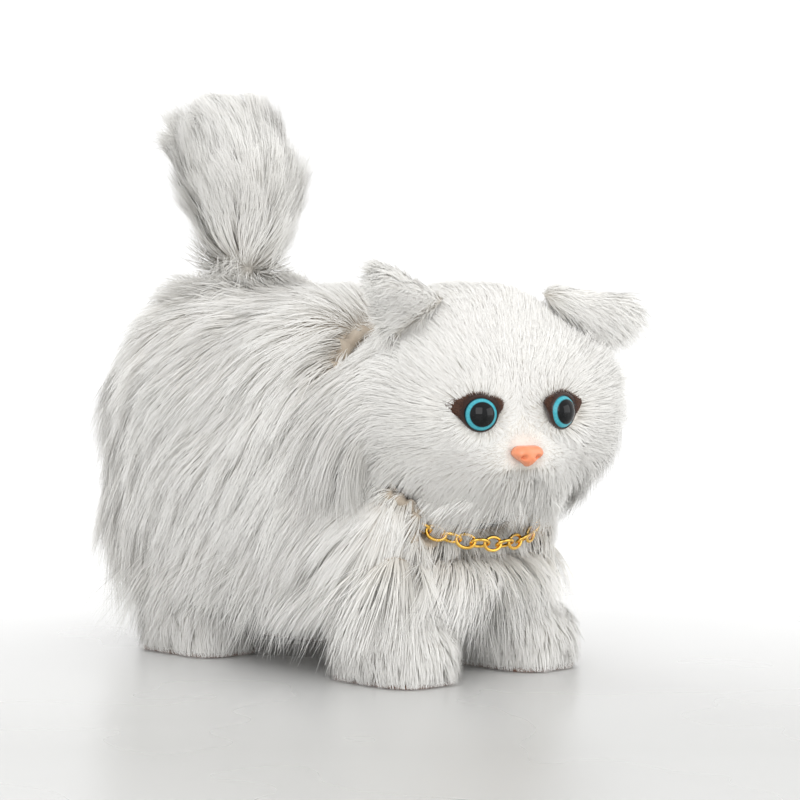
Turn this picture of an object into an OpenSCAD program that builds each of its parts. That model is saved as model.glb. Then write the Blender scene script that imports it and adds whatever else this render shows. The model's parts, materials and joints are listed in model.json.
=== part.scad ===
// Battery-driven plush kitten that walks, wags its tail and nods.
// +Z is up, the kitten faces -Y, its left side is +X, and the soles stand on z = 0.
// Units are millimetres.

/* [Body] */
// Width of the coat across the flanks
body_w = 104; // [98:1:116]
// Distance from the origin to the back of the rump coat
rump_y = 104; // [98:1:112]
// Height of the back above the floor
back_z = 139; // [134:1:148]
// Lowest point of the belly coat above the floor
belly_z = 34; // [33.5:0.5:36]
// Thickness of the pile coat and its backing
coat_t = 8; // [5:0.5:9]

/* [Head] */
// Width of the head coat across the cheeks, without the ears
head_w = 92; // [86:1:96]
// Height of the centre of the head above the floor
head_z = 100; // [98:1:106]
// Distance of the centre of the head in front of the origin
head_fwd = 63; // [62:1:66]
// Way the head faces at rest, in degrees to the right of straight ahead
head_yaw = 17; // [0:1:30]
// Diameter of each eye
eye_d = 12; // [10:0.5:14]
// Distance between the centres of the eyes
eye_gap = 32; // [28:1:36]
// Width of the nose
nose_w = 12; // [10:0.5:14]
// Height of an ear above its seam
ear_h = 24; // [18:1:26]

/* [Tail] */
// Height of the tip of the tail above the floor
tail_top = 203; // [180:1:215]
// Distance of the tail behind the origin
tail_y = 62; // [58:1:66]
// Radius of the tail coat at its thickest
tail_r = 20; // [16:1:22]

/* [Legs] */
// Distance between the centres of the left and right paws
track = 60; // [59:0.5:62]
// Distance between the front and rear hips
wheelbase = 107; // [104:1:109]
// Height of the hip axles above the floor
hip_z = 48; // [47:0.5:50]
// Length of a paw
paw_l = 50; // [40:1:54]
// Width of a paw
paw_w = 34; // [30:1:36]
// Thickness of a suede sole
sole_t = 1.6; // [1:0.2:2.4]

/* [Mechanism] */
// Width of the plastic housing
case_w = 48; // [46:1:50]
// Wall of the plastic housing
wall = 2; // [1.4:0.1:2.4]
// Diameter of the hip axles and of the crank shaft
axle_d = 3; // [2.5:0.1:3.4]
// Diameter of the pins that the idler gears turn on
gear_pin_d = 2; // [1.5:0.1:2.2]
// Module of the gear teeth
gear_m = 0.5; // [0.45:0.01:0.5]
// Teeth on each small gear
pinion_teeth = 12; // [12:1:13]
// Teeth on each large gear
wheel_teeth = 34; // [32:1:34]
// Throw of the crank pins
crank_throw = 3; // [2.5:0.1:3.4]
// Diameter of the motor can
motor_d = 20; // [18:0.5:20]
// Diameter of a battery cell
cell_d = 14.2; // [13.5:0.1:14.5]
// Length of a battery cell
cell_l = 50.5; // [48:0.5:50.5]

/* [Collar] */
// Radius of the collar chain round the neck
collar_r = 36.5; // [36:0.5:38]
// Diameter of the wire in the chain
wire_d = 1; // [0.8:0.1:1.2]
// Number of chain places round the neck, one of them the clasp
links = 38; // [36:2:40]

/* [Hidden] */

$fn = 40;
soft_fn = 28;        // facets of the soft, rounded solids
run = 0.05;          // radial clearance of a shaft that turns in a bore
gap = 0.3;           // clearance between neighbours that slide past each other
far = 300;           // longer than anything that is cut

// Places that the sub-parts share
hip_y = wheelbase / 2;
bay_x = cell_d + 1.8;                        // half the width of the battery bay
bay_wall = 1.2;
post_d = 4.4;                                // screw posts between the bay and the side walls
case_x = max(case_w / 2, bay_x + bay_wall + post_d + 0.4 + wall);
post_x = (bay_x + bay_wall + case_x - wall) / 2;
arm_t = 4;                                   // thickness of a leg arm
crank_room = 4;                              // cranks between the housing and the leg arms
leg_x = max(track / 2, case_x + crank_room + arm_t / 2);
arm_x = leg_x - arm_t / 2;                   // inner face of a leg arm
rod_t = 2;                                   // thickness of a tie rod
rod_x = arm_x + arm_t + gap;                 // inner face of a tie rod
rod_drop = 8;                                // tie rod pins below the hips
rod_pin_d = 3;
crank_rise = 20;                             // crank shaft above the rear hips
crank_at = [hip_y, hip_z + crank_rise];      // y and z of the crank shaft
case_z = belly_z + 2;                        // underside of the housing
nose_top = hip_z + 5;                        // top of the low front of the housing
split_z = 60;                                // joint between base and cover
case_top = 94;
case_front = -hip_y - 6;
case_rear = hip_y + 14;
tower_front = -9;                            // front wall of the tall part of the housing

// Head and neck
head_c = [0, -head_fwd, head_z];
head_reach = 47.5;                           // ball around the head that the torso stays out of
neck_tilt = 29;                              // slope of the collar plane
collar_c = head_c + [0, 16.8, -33.5];
neck_bore_r = 25;
swivel_r = 8;
spigot_d = 6;
nod_pin_d = 4;
eye_dome = 4;                                // how far an eye stands out of its rim
eye_fwd = 35.5;                              // plane of the eye rims in front of the head's centre
eye_drop = 4;                                // eyes below the head's centre
eye_turn = 20;                               // eyes face this far outwards
nose_fwd = 40.5;
nose_drop = 18;
skin_r = (head_w - 18) / 2;

// Coat lobes as [x, y, z, radius]: mirrored pairs that the coat is stretched over
rump_r = 32;
torso_lobes = [
  [body_w / 2 - 21, rump_y - 26, belly_z + 21, 21],
  [body_w / 2 - rump_r, rump_y - rump_r, (belly_z + back_z) / 2 + 4, rump_r],
  [body_w / 2 - rump_r - 2, rump_y - rump_r - 8, back_z - rump_r, rump_r],
  [body_w / 2 - rump_r - 4, 2, back_z - rump_r - 1, rump_r],
  [body_w / 2 - 22, -50, belly_z + 22, 22]];
head_lobes = [
  [9, 0, 0, skin_r],
  [4, 3, 8, skin_r - 2],
  [5, -4, -9, skin_r - 4],
  [7, -24, -15, 17]];

// Gear train: every axis runs along X, so a place is [y, z]
gear_c = gear_m * (pinion_teeth + wheel_teeth) / 2;
second_at = crank_at + gear_c * [-cos(45), sin(45)];
first_at = second_at + [-gear_c, 0];
motor_at = first_at + [-gear_c, 0];
plate_t = 1.5;
plate_in_x = 6.2;
gear_x1 = plate_in_x + plate_t + 0.5;        // crank gear and second pinion
gear_x2 = gear_x1 + 3;                       // second wheel and first pinion
gear_x3 = gear_x2 + 3;                       // first wheel and motor pinion
gear_t = 2.4;
plate_out_x = gear_x3 + 3.2;

speaker_y = 5;

// Battery bay
cell_z = case_z + 3.1 + cell_d / 2;
cell_y = 13.5;                               // middle of the cells along Y
bay_y0 = cell_y - cell_l / 2 - 1.6;
bay_y1 = cell_y + cell_l / 2 + 0.5;
bay_top = cell_z + cell_d / 2 + 0.6;
door_t = 1.8;
door_y1 = bay_y1 + 8;
door_screw_y = bay_y1 + 4.6;

// Tail
tail_pivot_z = back_z - 15;
tail_hole_r = 16;
tail_swing = 12;

// Switch
switch_y = -36;
switch_travel = 3;

// ---- shared shapes ----

module along_x(y, z, x0, x1, d) translate([x0, y, z]) rotate([0, 90, 0]) cylinder(h = x1 - x0, d = d);

module both_sides() {
  children();
  mirror([1, 0, 0]) children();
}

module box(x0, x1, y0, y1, z0, z1) translate([x0, y0, z0]) cube([x1 - x0, y1 - y0, z1 - z0]);

module lobes(list, less) hull() for (lobe = list, side = [-1, 1])
  translate([side * lobe[0], lobe[1], lobe[2]]) sphere(r = lobe[3] - less, $fn = soft_fn);

module at_head() translate(head_c) rotate([0, 0, -head_yaw]) children();

module at_collar() translate(collar_c) rotate([neck_tilt, 0, 0]) children();

// Involute gear outline. Wheels have a short addendum, so they clear the small pinions' roots.
function inv(a) = tan(a) * 180 / PI - a;
function tooth_half(r, rp, rb, half) = half + inv(20) - inv(acos(min(1, rb / r)));
module gear_2d(teeth, addendum, slack) {
  rp = gear_m * teeth / 2;
  rb = rp * cos(20);
  ra = rp + addendum;
  rf = rp - 1.25 * gear_m;
  half = 90 / teeth - slack / rp * 180 / PI / 2;
  steps = 3;
  r0 = max(rb, rf);
  radii = [for (i = [0:steps]) r0 + (ra - r0) * i / steps];
  flank = concat([[rf, tooth_half(r0, rp, rb, half)]], [for (r = radii) [r, tooth_half(r, rp, rb, half)]]);
  polygon([for (t = [0:teeth - 1], side = [-1, 1], i = [0:steps + 1])
    let (k = side < 0 ? i : steps + 1 - i, a = t * 360 / teeth + side * flank[k][1])
    flank[k][0] * [cos(a), sin(a)]]);
}

// A gear about an axis along X. Turned by `phase` degrees from +Y towards +Z.
module gear(at, x0, x1, teeth, addendum, phase) translate([x0, at[0], at[1]])
  rotate([90, 0, 90]) rotate([0, 0, phase]) linear_extrude(height = x1 - x0) gear_2d(teeth, addendum, 0.06);

module wheel(at, x0, phase) gear(at, x0, x0 + gear_t, wheel_teeth, 0.65 * gear_m, phase);
module pinion(at, x0, length, phase) gear(at, x0, x0 + length, pinion_teeth, gear_m, phase);

// Phase that puts a gap of a gear on the line at `angle`, where its mate has a tooth.
function gap_at(angle, teeth) = angle + 180 / teeth;

// ---- coat and soft parts of the torso ----

cave = [leg_x + 9, case_front - 2.5, case_rear + 5, hip_z + crank_rise + 8];

module torso_cavity() {
  box(-cave[0], cave[0], cave[1], cave[2], 0, cave[3]);
  box(-case_x - 1, case_x + 1, tower_front - 1, case_rear + 1, 0, case_top + 1);
}

module collar_room() at_collar() rotate_extrude() translate([collar_r, 0]) circle(r = 4.8);

module neck_room() {
  translate(head_c) sphere(r = head_reach);
  collar_room();
}

module tail_room() translate([0, tail_y, case_top]) cylinder(h = far, r = tail_hole_r);

module torso_plush() color("white") difference() {
  lobes(torso_lobes, 0);
  lobes(torso_lobes, coat_t);
  torso_cavity();
  neck_room();
  tail_room();
}

module torso_wadding() color("gainsboro") difference() {
  lobes(torso_lobes, coat_t + 0.1);
  torso_cavity();
  neck_room();
  tail_room();
}

// The flat cloth under the body, open for the legs, the battery door and the switch
module belly_skin() color("whitesmoke") difference() {
  intersection() {
    box(-cave[0], cave[0], cave[1], cave[2], belly_z + 0.5, belly_z + 1.7);
    lobes(torso_lobes, 0);
  }
  both_sides() for (y = [-hip_y, hip_y])
    box(leg_x - sleeve_r - 0.7, leg_x + sleeve_r + 0.7, y - sleeve_r - 3.5, y + sleeve_r + 3.5, 0, far);
  box(-bay_x, bay_x, bay_y0, door_y1, 0, far);
  box(-4, 4, switch_y - 7, switch_y + 7, 0, far);
}

// A dished cloth that closes the body under the head
module neck_lining() color("whitesmoke") difference() {
  intersection() {
    translate(head_c) sphere(r = head_reach + 1.3);
    box(-cave[0], cave[0], cave[1], tower_front - 3, nose_top + 0.3, cave[3]);
  }
  neck_room();
  translate([0, head_c[1] + 15, 0]) cylinder(h = far, r = 12);
}

// ---- housing ----

module shaft_holes(d) {
  for (y = [-hip_y, hip_y]) along_x(y, hip_z, -far, far, d);
  along_x(crank_at[0], crank_at[1], -far, far, d);
}

screw_places = [[1, tower_front + 5], [1, case_rear - 5], [-1, tower_front + 5], [-1, case_rear - 5]];

module at_screws() for (p = screw_places) translate([p[0] * post_x, p[1], 0]) children();

module housing_base() color("silver") difference() {
  union() {
    difference() {
      union() {
        box(-case_x, case_x, case_front, case_rear, case_z, nose_top);
        box(-case_x, case_x, tower_front, case_rear, case_z, split_z);
      }
      box(-case_x + wall, case_x - wall, case_front + wall, case_rear - wall, case_z + wall, nose_top - wall);
      box(-case_x + wall, case_x - wall, tower_front + wall, case_rear - wall, case_z + wall, far);
    }
    box(-bay_x - bay_wall, bay_x + bay_wall, bay_y0 - 0.4, bay_y1 + wall, case_z, bay_top + 1.4);
    translate([0, door_screw_y, case_z]) cylinder(h = 14, d = 6.4);
    at_screws() translate([0, 0, case_z]) cylinder(h = 10, d = post_d);
  }
  box(-bay_x, bay_x, bay_y0, bay_y1, 0, bay_top);
  box(-bay_x, bay_x, bay_y0, door_y1, 0, case_z + door_t + 0.2);
  translate([0, door_screw_y, case_z]) cylinder(h = 12, d = 2.2);
  box(-2.2, 2.2, switch_y - 2.4 - switch_travel, switch_y + 2.4 + switch_travel, 0, case_z + wall + 1);
  at_screws() {
    cylinder(h = far, d = 2.8);
    cylinder(h = case_z + 1.2, d = 5);
  }
  shaft_holes(axle_d + 2 * run);
  collar_room();
}

module housing_cover() color("silver") difference() {
  union() {
    difference() {
      box(-case_x, case_x, tower_front, case_rear, split_z, case_top);
      box(-case_x + wall, case_x - wall, tower_front + wall, case_rear - wall, 0, case_top - wall);
    }
    at_screws() translate([0, 0, case_z + 10]) cylinder(h = case_top - case_z - 11, d = post_d);
    for (x = [-12, 12]) translate([x, tower_front + wall - 0.5, 70]) rotate([-90, 0, 0])
      cylinder(h = 2, d = 4);
    for (y = [tail_y - 6.6, tail_y + 3]) box(-5, 5, y, y + 3, case_top - 0.5, tail_pivot_z + 4);
  }
  at_screws() cylinder(h = case_top - 8, d = 2.2);
  for (ring = [0:2], i = [0:max(0, ring * 6 - 1)])
    translate([ring * 3.6 * cos(i * 60 / max(1, ring)), speaker_y + ring * 3.6 * sin(i * 60 / max(1, ring)), 0])
      cylinder(h = far, d = 1.6);
  translate([0, tail_y, tail_pivot_z]) rotate([90, 0, 0]) cylinder(h = 30, d = gear_pin_d + 2 * run, center = true);
  shaft_holes(axle_d + 2 * gap);
}

module housing_screws() color("dimgray") at_screws() translate([0, 0, case_z + 0.2]) {
    cylinder(h = 1, d = 4.6);
    cylinder(h = split_z - case_z, d = 2.2);
  }

module axle(y) along_x(y, hip_z, -rod_x - rod_t, rod_x + rod_t, axle_d);

module front_axle() color("lightsteelblue") axle(-hip_y);
module rear_axle() color("lightsteelblue") axle(hip_y);

module axle_clips() color("dimgray") both_sides() for (y = [-hip_y, hip_y]) difference() {
  along_x(y, hip_z, rod_x, rod_x + 1.6, 7);
  along_x(y, hip_z, -far, far, axle_d);
}

// ---- gearbox ----

motor_l = 25;

module motor() color("lightgray") union() {
  along_x(motor_at[0], motor_at[1], plate_in_x - motor_l, plate_in_x, motor_d);
  along_x(motor_at[0], motor_at[1], plate_in_x - motor_l - 2, plate_in_x, 6);
  for (z = [-5, 5]) along_x(motor_at[0], motor_at[1] + z, plate_in_x - motor_l - 2.4, plate_in_x, 1.6);
}

pillars = [crank_at + [2, 11.2], motor_at + [-1, -5.2]];

module gear_plate(x0) difference() {
  union() {
    hull() {
      along_x(crank_at[0], crank_at[1], x0, x0 + plate_t, 10);
      along_x(pillars[0][0], pillars[0][1], x0, x0 + plate_t, 4.8);
      along_x(second_at[0], second_at[1], x0, x0 + plate_t, 12);
    }
    hull() for (p = [second_at, motor_at]) along_x(p[0], p[1], x0, x0 + plate_t, 14);
    box(x0, x0 + plate_t, first_at[0] - 4, first_at[0] + 4, first_at[1], case_top - wall);
  }
  along_x(crank_at[0], crank_at[1], -far, far, axle_d + 2 * run);
  along_x(motor_at[0], motor_at[1], -far, far, 5);
  for (p = [first_at, second_at]) along_x(p[0], p[1], -far, far, gear_pin_d);
}

module gear_plate_inner() color("gold") gear_plate(plate_in_x);

module gear_plate_outer() color("gold") union() {
  gear_plate(plate_out_x);
  for (p = pillars) along_x(p[0], p[1], plate_in_x + plate_t, plate_out_x + 0.5, 2.4);
}

module gear_pins() color("lightsteelblue") for (p = [first_at, second_at])
  along_x(p[0], p[1], plate_in_x, plate_out_x + plate_t, gear_pin_d);

// The train is in mesh at rest: each pair has a tooth of one in a gap of the other.
crank_phase = 135;
second_pinion_phase = gap_at(135 + 180, pinion_teeth);
second_wheel_phase = 180;
first_pinion_phase = gap_at(0, pinion_teeth);
first_wheel_phase = 180;
motor_phase = gap_at(0, pinion_teeth);

module motor_pinion() color("white") union() {
  pinion(motor_at, gear_x3, 2.8, motor_phase);
  along_x(motor_at[0], motor_at[1], plate_in_x, gear_x3 + 2.8, 2);
}

module idler(at, x_wheel, x_pinion, wheel_phase, pinion_phase) difference() {
  union() {
    wheel(at, x_wheel, wheel_phase);
    pinion(at, x_pinion, x_wheel - x_pinion + 1, pinion_phase);
  }
  along_x(at[0], at[1], -far, far, gear_pin_d + 2 * run);
}

module gear_first() color("ivory") idler(first_at, gear_x3, gear_x2, first_wheel_phase, first_pinion_phase);
module gear_second() color("ivory") idler(second_at, gear_x2, gear_x1, second_wheel_phase, second_pinion_phase);

module crank_gear() color("ivory") difference() {
  wheel(crank_at, gear_x1, crank_phase);
  along_x(crank_at[0], crank_at[1], -far, far, axle_d);
}

module crank_shaft() color("lightsteelblue")
  along_x(crank_at[0], crank_at[1], -case_x - 1.9, case_x + 1.9, axle_d);

crank_x = case_x + 0.4;

module crank_arm(throw) union() {
  difference() {
    along_x(crank_at[0], crank_at[1], crank_x, crank_x + 1.5, 11);
    along_x(crank_at[0], crank_at[1], -far, far, axle_d);
  }
  along_x(crank_at[0], crank_at[1] + throw, crank_x + 1.5, arm_x - gap, 2.4);
}

module crank_arms() color("silver") {
  crank_arm(crank_throw);
  mirror([1, 0, 0]) crank_arm(-crank_throw);
}

// ---- electrics ----

board_y = tower_front + wall + 1.5;

module circuit_board() color("darkgreen") box(-16, 16, board_y, board_y + 1.4, bay_top + 5, bay_top + 26);

module board_parts() color("black") {
  translate([-8, board_y + 1.4, bay_top + 12]) rotate([-90, 0, 0]) cylinder(h = 2, d = 9);
  for (x = [4, 11]) translate([x, board_y + 1.4, bay_top + 19]) rotate([-90, 0, 0]) cylinder(h = 6, d = 5);
  for (i = [0:3]) box(i * 4, i * 4 + 1.6, board_y + 1.4, board_y + 2.2, bay_top + 9, bay_top + 12.2);
}

module speaker() color("dimgray") translate([0, speaker_y, case_top - wall - 7]) union() {
  translate([0, 0, 4]) cylinder(h = 3, d = 23);
  cylinder(h = 4, d = 13);
}

module batteries() color("goldenrod") both_sides() translate([cell_d / 2 + 0.3, cell_y - cell_l / 2, cell_z])
  rotate([-90, 0, 0]) union() {
    cylinder(h = cell_l - 1, d = cell_d);
    cylinder(h = cell_l, d = 5.4);
  }

module battery_contacts() color("lightsteelblue") {
  box(-bay_x + 1, bay_x - 1, bay_y1 - 0.5, bay_y1, case_z + 5, bay_top - 1);
  both_sides() {
    box(1, bay_x - 1, bay_y0, bay_y0 + 0.5, case_z + 5, bay_top - 1);
    translate([cell_d / 2 + 0.3, bay_y0 + 0.5, cell_z]) rotate([-90, 0, 0]) cylinder(h = 1.1, d = 7);
  }
}

module switch_body() color("black") difference() {
  box(-3, 3, switch_y - 6.5, switch_y + 6.5, case_z + wall, case_z + wall + 6);
  box(-1.8, 1.8, switch_y - 2 - switch_travel, switch_y + 2 + switch_travel, 0, case_z + wall + 2);
}

module switch_knob() color("black")
  box(-1.5, 1.5, switch_y - 1.6, switch_y + 1.6, case_z - 2.4, case_z + wall + 1.6);

module battery_door() color("silver") difference() {
  union() {
    box(-bay_x + gap, bay_x - gap, bay_y0 + gap, door_y1 - gap, case_z, case_z + door_t);
    for (i = [0:4]) box(-6, 6, bay_y0 + 5 + 2.4 * i, bay_y0 + 6 + 2.4 * i, case_z - 0.5, case_z);
  }
  translate([0, door_screw_y, 0]) cylinder(h = far, d = 2.8);
  translate([0, door_screw_y, 0]) cylinder(h = case_z + 1, d = 5);
}

module door_screw() color("dimgray") translate([0, door_screw_y, case_z - 0.8]) union() {
  cylinder(h = 1.8, d = 4.6);
  cylinder(h = 3, d = 2);
}

// ---- collar ----

link_r = (2 * PI * collar_r / links + wire_d) / 2 + 0.14;

module link(i) at_collar() rotate([0, 0, i * 360 / links + 90]) translate([collar_r, 0, 0])
  rotate([0, i % 2 * 90, 0]) rotate_extrude() translate([link_r, 0]) circle(d = wire_d);

module collar_chain() color("gold") for (i = [1:links - 1]) link(i);

// A spring-ring clasp takes the place of one link at the back of the neck.
module collar_clasp() color("gold") union() {
  link(0);
  at_collar() rotate([0, 0, 90]) translate([collar_r, 0, link_r]) cylinder(h = 1.6, d = 1.6, center = true);
}

// ---- legs: drawn for the left side, at a hip at y, and mirrored for the right ----

foot_z = 9;                                  // top of the shoe that the paw is stuffed round
shoe = [22, 32];                             // width and length of that shoe
sleeve_r = 10;                               // radius of the ankle coat

module leg_arm(y, slot) union() {
  difference() {
    union() {
      box(arm_x, arm_x + arm_t, y - 5, y + 5, foot_z - 2, hip_z);
      along_x(y, hip_z, arm_x, arm_x + arm_t, 10);
      if (slot) box(arm_x, arm_x + arm_t, y - 4, y + 4, hip_z, hip_z + crank_rise + 6);
    }
    if (slot) box(0, far, y - 1.35, y + 1.35, hip_z + crank_rise - 5, hip_z + crank_rise + 4.2);
    along_x(y, hip_z, -far, far, axle_d + 2 * run);
  }
  difference() {
    along_x(y, hip_z, case_x + gap, arm_x, 7);
    along_x(y, hip_z, -far, far, axle_d + 2 * run);
  }
  along_x(y, hip_z - rod_drop, arm_x + arm_t, rod_x + rod_t + 0.3, rod_pin_d);
  box(leg_x - shoe[0] / 2, leg_x + shoe[0] / 2, y - shoe[1] / 2, y + shoe[1] / 2, sole_t, foot_z - 2);
}

module sole_outline(less) hull() for (side = [-1, 1], end = [-1, 1])
  translate([side * (paw_w / 2 - 12), end * (paw_l / 2 - 13)]) circle(r = 10 - less);

module paw_shape(y) hull() {
  translate([leg_x, y + paw_l / 2 - 17, 16]) sphere(r = 16.5, $fn = soft_fn);
  translate([leg_x, y - paw_l / 2 + 15, 14]) sphere(r = 14.5, $fn = soft_fn);
  for (side = [-1, 1]) translate([leg_x + side * (paw_w / 2 - 12), y, 13]) sphere(r = 12, $fn = soft_fn);
  translate([leg_x, y, sole_t]) linear_extrude(height = 1) sole_outline(0);
}

module paw(y) color("white") difference() {
  union() {
    paw_shape(y);
    translate([leg_x, y, 20]) cylinder(h = belly_z - 20.4, r = sleeve_r);
  }
  box(0, far, -far, far, -far, sole_t);
  box(leg_x - shoe[0] / 2, leg_x + shoe[0] / 2, y - shoe[1] / 2, y + shoe[1] / 2, 0, foot_z - 2);
  box(arm_x, arm_x + arm_t, y - 5, y + 5, 0, far);
}

module sole(y) color("saddlebrown") translate([leg_x, y, 0])
  linear_extrude(height = sole_t) sole_outline(0.5);

module leg_front_left() color("silver") leg_arm(-hip_y, false);
module leg_front_right() mirror([1, 0, 0]) leg_front_left();
module leg_rear_left() color("silver") leg_arm(hip_y, true);
module leg_rear_right() mirror([1, 0, 0]) leg_rear_left();
module paw_front_left() paw(-hip_y);
module paw_front_right() mirror([1, 0, 0]) paw_front_left();
module paw_rear_left() paw(hip_y);
module paw_rear_right() mirror([1, 0, 0]) paw_rear_left();
module sole_front_left() sole(-hip_y);
module sole_front_right() mirror([1, 0, 0]) sole_front_left();
module sole_rear_left() sole(hip_y);
module sole_rear_right() mirror([1, 0, 0]) sole_rear_left();

module tie_rod_left() color("silver") difference() {
  union() {
    box(rod_x, rod_x + rod_t, -hip_y, hip_y, hip_z - rod_drop - 2, hip_z - rod_drop + 2);
    for (y = [-hip_y, hip_y]) along_x(y, hip_z - rod_drop, rod_x, rod_x + rod_t, 6.4);
  }
  along_x(-hip_y, hip_z - rod_drop, -far, far, rod_pin_d + 2 * run);
  along_x(hip_y, hip_z - rod_drop, -far, far, rod_pin_d + 0.3);
}
module tie_rod_right() mirror([1, 0, 0]) tie_rod_left();

// ---- neck and head ----

post_top = -14.3;                            // shoulder of the neck post below the head's centre

module neck_post() color("silver") union() {
  translate(head_c + [0, 0, post_top]) cylinder(h = 9, d = spigot_d);
  hull() {
    translate(head_c + [0, 0, post_top - 3]) cylinder(h = 3, d = 12);
    translate([0, head_c[1] + 17, nose_top]) cylinder(h = 3, d = 14);
  }
}

module neck_swivel() color("silver") difference() {
  union() {
    translate(head_c + [0, 0, post_top + gap]) cylinder(h = -post_top + 4, r = swivel_r);
    at_head() along_x(0, 0, -17, 17, nod_pin_d);
  }
  translate(head_c + [0, 0, post_top - 1]) cylinder(h = 10.6, d = spigot_d + 2 * run);
}

frame_r = neck_bore_r - 0.15;
frame_z = 24;

module head_frame() color("silver") at_head() difference() {
  union() {
    difference() {
      translate([0, 0, 8]) cylinder(h = frame_z - 8, r = frame_r);
      translate([0, 0, 0]) cylinder(h = frame_z - 2, r = frame_r - 2);
    }
    both_sides() box(13, 16, -5, 5, -4.5, frame_z - 1);
  }
  along_x(0, 0, -far, far, nod_pin_d + 2 * run);
}

module neck_bore() translate([0, 0, -far]) cylinder(h = far + frame_z, r = neck_bore_r);

module eye_place(side) translate([side * eye_gap / 2, -eye_fwd, -eye_drop]) rotate([0, 0, side * eye_turn])
  rotate([90, 0, 0]) children();

module nose_place() translate([0, -nose_fwd, -nose_drop]) rotate([90, 0, 0]) children();

shank_d = 3.4;
shank_l = 13;
washer_l = 1.6;

// Room for each eye and the nose in the head's coat and wadding
module face_cuts() {
  for (side = [-1, 1]) eye_place(side) {
    cylinder(h = 20, d = eye_d + 0.2);
    translate([0, 0, -shank_l - 0.2]) cylinder(h = far / 10, d = shank_d);
    translate([0, 0, -shank_l - 1]) cylinder(h = washer_l + 3, d = 9);
  }
  nose_place() {
    translate([0, 0, -1.1]) cylinder(h = 20, d = nose_w + 1);
    translate([0, 0, -shank_l - 0.2]) cylinder(h = far / 10, d = shank_d);
    translate([0, 0, -shank_l - 1]) cylinder(h = washer_l + 3, d = 9);
  }
}

module head_plush() color("white") at_head() difference() {
  lobes(head_lobes, 0);
  lobes(head_lobes, coat_t);
  neck_bore();
  face_cuts();
}

module head_wadding() color("gainsboro") at_head() difference() {
  lobes(head_lobes, coat_t + 0.1);
  neck_bore();
  face_cuts();
}

// An ear is a flat pocket of coat. Its seam lies on the head, and its tip leans outwards and forwards.
module ear(side, lean) at_head() difference() {
  translate([side * 27, -12, 24]) rotate([14, 0, 0]) rotate([0, side * lean, 0]) hull() {
    translate([-side * 11, 2, 2]) sphere(r = 4, $fn = soft_fn);
    translate([side * 11, 2, -2]) sphere(r = 4, $fn = soft_fn);
    translate([side * 1, 0, ear_h]) sphere(r = 3, $fn = soft_fn);
  }
  lobes(head_lobes, 0);
}

module ear_left() color("white") ear(1, 68);
module ear_right() color("white") ear(-1, 36);

module eye(side) color("turquoise") at_head() eye_place(side) union() {
  dome_r = (pow(eye_d / 2, 2) + pow(eye_dome, 2)) / (2 * eye_dome);
  intersection() {
    translate([0, 0, eye_dome - dome_r]) sphere(r = dome_r);
    cylinder(h = 20, d = eye_d);
  }
  translate([0, 0, -shank_l]) cylinder(h = shank_l, d = shank_d);
}

module eye_left() eye(1);
module eye_right() eye(-1);

module nose() color("salmon") at_head() nose_place() union() {
  hull() {
    for (side = [-1, 1]) translate([side * (nose_w / 2 - 2.6), 1.6, 1.6]) sphere(r = 2.6, $fn = soft_fn);
    translate([0, -2.2, 1.2]) sphere(r = 2.2, $fn = soft_fn);
    translate([0, 0.6, 2.6]) sphere(r = 2.4, $fn = soft_fn);
  }
  translate([0, 0, -shank_l]) cylinder(h = shank_l, d = shank_d);
}

module washer() translate([0, 0, -shank_l + 1]) difference() {
  cylinder(h = washer_l, d = 8.6);
  translate([0, 0, -1]) cylinder(h = 5, d = shank_d);
}

module shank_washers() color("white") at_head() {
  for (side = [-1, 1]) eye_place(side) washer();
  nose_place() washer();
}

// ---- tail ----

module tail_pivot_pin() color("lightsteelblue") translate([0, tail_y - 1.5, tail_pivot_z])
  rotate([90, 0, 0]) cylinder(h = 13, d = gear_pin_d, center = true);

module tail_arm() color("silver") translate([0, tail_y, 0]) difference() {
  union() {
    translate([0, 1, tail_pivot_z]) rotate([90, 0, 0]) cylinder(h = 4, d = 9);
    translate([0, -1, tail_pivot_z + 3]) cylinder(h = 20, d = 8);
  }
  translate([0, 0, tail_pivot_z]) rotate([90, 0, 0]) cylinder(h = 30, d = gear_pin_d + 2 * run, center = true);
  translate([0, -1, tail_pivot_z + 8]) cylinder(h = far, d = 4);
  for (y = [-far - 3 - gap, 3 - gap]) box(-far, far, y, y + far, tail_pivot_z - 6, tail_pivot_z + 5);
}

module tail_stem() color("lightsteelblue") translate([0, tail_y - 1, tail_pivot_z + 8])
  cylinder(h = tail_top - tail_pivot_z - 30, d = 4);

// The plume: a round brush on a narrow root, with its tip blown back to the right.
// A short tail is a slimmer one, so that it stays above the back.
plume_r = min(tail_r, (tail_top - back_z - 2) / 2);
root_r = min(14.5, plume_r);
plume_z = max(tail_top - plume_r - 12, back_z + plume_r + 2.5);

module tail_plush() color("white") difference() {
  union() {
    translate([0, tail_y, 0]) rotate_extrude()
      polygon([[0, back_z - 4], [11, back_z - 4], [11.5, back_z + 2], [13.6, back_z + 10], [0, back_z + 30]]);
    hull() {
      translate([0, tail_y, back_z + root_r + 2.5]) sphere(r = root_r, $fn = soft_fn);
      translate([0, tail_y, plume_z]) sphere(r = plume_r, $fn = soft_fn);
      translate([0, tail_y + 3, tail_top - plume_r + 2]) sphere(r = plume_r - 2, $fn = soft_fn);
      translate([-9, tail_y + 24, tail_top - 18]) sphere(r = 5, $fn = soft_fn);
    }
  }
  translate([0, tail_y - 1, 0]) cylinder(h = tail_top - 22, d = 4);
  translate([0, tail_y, 0]) cylinder(h = tail_pivot_z + 23.3, d = 10.6);
}

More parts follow.
